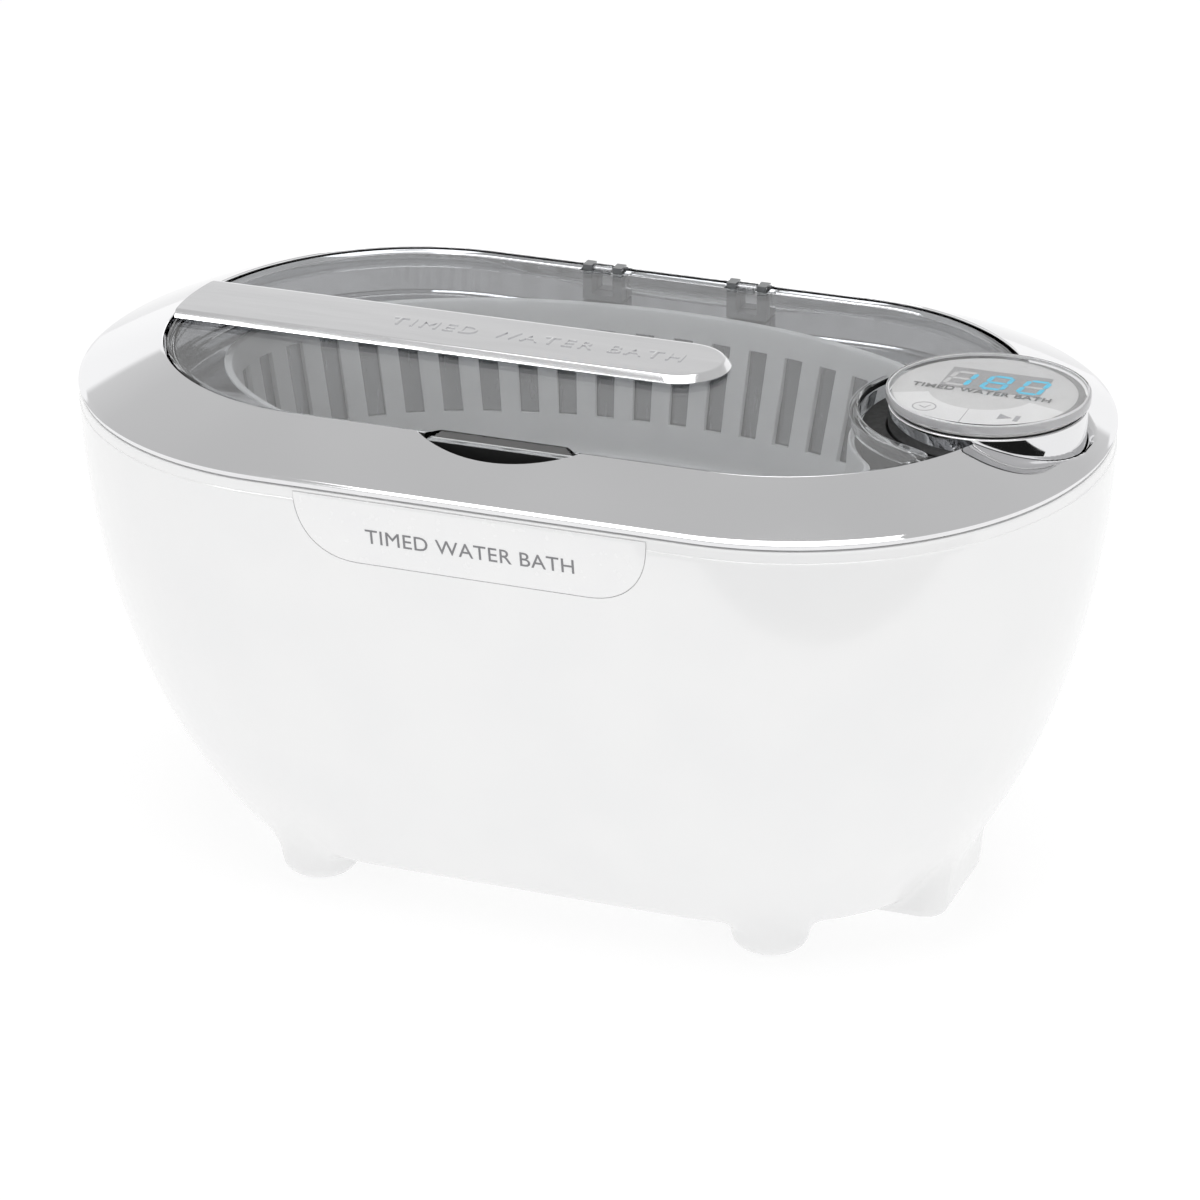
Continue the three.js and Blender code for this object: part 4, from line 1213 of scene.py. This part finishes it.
def face():
    disc = rounded(rectangle(0, FACE_RADIUS, FACE_LOW, FACE_TOP), [0, 0.08, 0.08, 0])
    finished(turned("face_disc", disc, HEAD_X, 0, 160), "base", "face_print", "face_plate")
    print_z = FACE_TOP + 0.01
    outline = [(HEAD_X - 0.15 + px, 6.4 + py) for px, py in rounded_rectangle(11.0, 5.85, 0.3, 3)]
    window = prism("face_window", outline, print_z, print_z + 0.04)
    finished(window, "base", "led_grey", "led_module", material="window_grey")
    for side, start, end in (("left", -155, -89.5), ("right", -88.8, -19)):
        pad = sector("touch_zone_" + side, DIAL, 11.8, 20.1, start, end, print_z, print_z + 0.04)
        finished(pad, "base", "face_print", "face_plate", material="touch_print")
    line = sector("touch_divider", DIAL, 11.9, 20.1, -89.5, -88.8, print_z, print_z + 0.05, 3)
    finished(line, "base", "face_print", material="ink_grey")
    # a thin dark crescent round the face's right edge: painted shadow
    shade = sector("face_edge_shadow", (-1.3, -0.2), 20.2, 20.4, -28, 80, print_z + 0.06, print_z + 0.1)
    finished(shade, "base", "face_print", material="painted_edge_shadow")
    digit_z = print_z + 0.06
    lit = {0: "bc", 1: "abcdefg", 2: "abcdef"}
    for index, keys in lit.items():
        x = HEAD_X - 10.4 + index * 8.0
        dark = "".join(key for key in "abcdefg" if key not in keys)
        digit(f"digit_{index}", keys, x, 2.0, 4.4, 7.5, digit_z, "segment_cyan")
        if dark:
            digit(f"unlit_{index}", dark, x, 2.0, 4.4, 7.5, digit_z, "ghost_segment")
    clock()
    play()

    def on_face(x, y, height):
        return x + (HEAD_X - 1.3) * MM, y - 0.6 * MM, (print_z + 0.12) * MM + height

    letters = words("face_words", 2.6, 1.1, 0.03, 30.3, on_face, 0.07)
    finished(letters, "base", "face_print", material="face_ink")


def clock():
    """A ring with two hands."""
    x, y, radius = HEAD_X - 10.3, -12.5, 2.6
    z = FACE_TOP + 0.06
    ring = turned("clock_icon", rectangle(radius - 0.3, radius, z, z + 0.03), x, y, 48)
    hands = []
    for end in ((-1.4, 0.95), (0.85, 1.9)):
        direction = np.array(end) / np.hypot(*end)
        side = np.array([-direction[1], direction[0]]) * 0.15
        outline = [side * -1, np.array(end) - side, np.array(end) + side, side]
        hands.append(prism("hand", [(x + 0.25 + p[0], y - 0.7 + p[1]) for p in outline], z, z + 0.03))
    finished(merged(ring, *hands), "base", "face_print", material="ink_grey")


def play():
    """A triangle and a bar: start and pause."""
    x, y, z = HEAD_X + 7.6, -12.7, FACE_TOP + 0.06
    triangle = prism("play_icon", [(x - 1.7, y - 1.6), (x + 1.2, y), (x - 1.7, y + 1.6)], z, z + 0.03)
    bar = prism("bar", rectangle(x + 1.7, x + 2.8, y - 1.6, y + 1.6), z, z + 0.03)
    finished(merged(triangle, bar), "base", "face_print", material="ink_grey")


# ---- small pieces ----
def foot_pads():
    for node in [n for n in frame["nodes"] if n.startswith("foot_pad_")]:
        radius, x, y, _, top = disc_of(node)
        profile = [(0, 0.35), (1.4, 0.35), (1.7, 0), (2.6, 0), (2.9, 0.35), (3.6, 0.35), (3.9, 0)]
        profile = rounded(profile + [(radius, 0), (radius, top), (0, top)], [0, *[0.1] * 6, 0.4, 0.2, 0], 2)
        finished(turned(node.replace("foot_pad", "pad"), profile, x, y, 64), "base", "silicone_grey", node)


def base_screws():
    """Pan heads with a cross recess."""
    for node in [n for n in frame["nodes"] if n.startswith("base_screw_")]:
        radius, x, y, low, top = disc_of(node)
        profile = [(0, low), (0.5 * radius, low + 0.04), (0.8 * radius, low + 0.2), (radius, low + 0.5)]
        profile += [(radius, low + 0.9), (1.35, low + 0.9), (1.35, top - 1), (0, top)]
        screw = turned(node.replace("base_screw", "plate_screw"), profile, x, y, 48)
        outward(screw)
        arms = [
            box_mesh("arm", (x - long, y - wide, low - 1), (x + long, y + wide, low + 0.6))
            for long, wide in ((1.3, 0.28), (0.28, 1.3))
        ]
        for arm in arms:
            carved(screw, arm)
        finished(screw, "base", "screw_steel", node)


def inlet():
    """A two-pin socket: an oval body with a figure-8 well and two round pins."""
    middle, face_y = (INLET_LOW + INLET_HIGH) / 2, INLET_HIGH[1]
    half_width, _, half_height = (INLET_HIGH - INLET_LOW) / 2
    body = outward(inlet_oval("mains_socket", half_width, half_height, INLET_LOW[1], face_y, 24))

    def rod(name, radius, y0, y1, x, tip=0.0):
        angle = np.arange(32) * pi / 16
        stops = [(radius, y0), (radius, y1 - tip)] + [(radius - tip, y1)] * (tip > 0)
        across, up = np.cos(angle), np.sin(angle)
        rings = [np.column_stack([x + r * across, np.full(32, y), middle[2] + r * up]) for r, y in stops]
        return loft(name, rings)

    for side in (-4, 4):
        carved(body, rod("well", 3.1, face_y - 11, face_y + 1, middle[0] + side))
    x, _, z = middle
    web = box_mesh("web", (x - 3, face_y - 9, z - 1.2), (x + 3, face_y + 1, z + 1.2))
    carved(body, web)
    softened(body, 0.25)
    baked(body)
    finished(body, "base", "black_plastic", "power_inlet")
    for name, side in (("left", -4), ("right", 4)):
        pin = rod("socket_pin_" + name, 1.15, face_y - 11.5, face_y - 6.8, middle[0] + side, 0.5)
        finished(pin, "base", "screw_steel")


def carried_over():
    """CAD pieces that keep their shape and get soft edges."""
    softened(frame["nodes"]["base_plate"], 0.4, 50)
    for side, _ in hinge_sides():
        softened(frame["nodes"]["hinge_bracket_" + side], 0.25, 50)


stage()
studio()
camera()
housing()
nameplate()
bezel()
tank()
basket()
lid()
strip()
cup()
face()
lens()
foot_pads()
base_screws()
inlet()
carried_over()
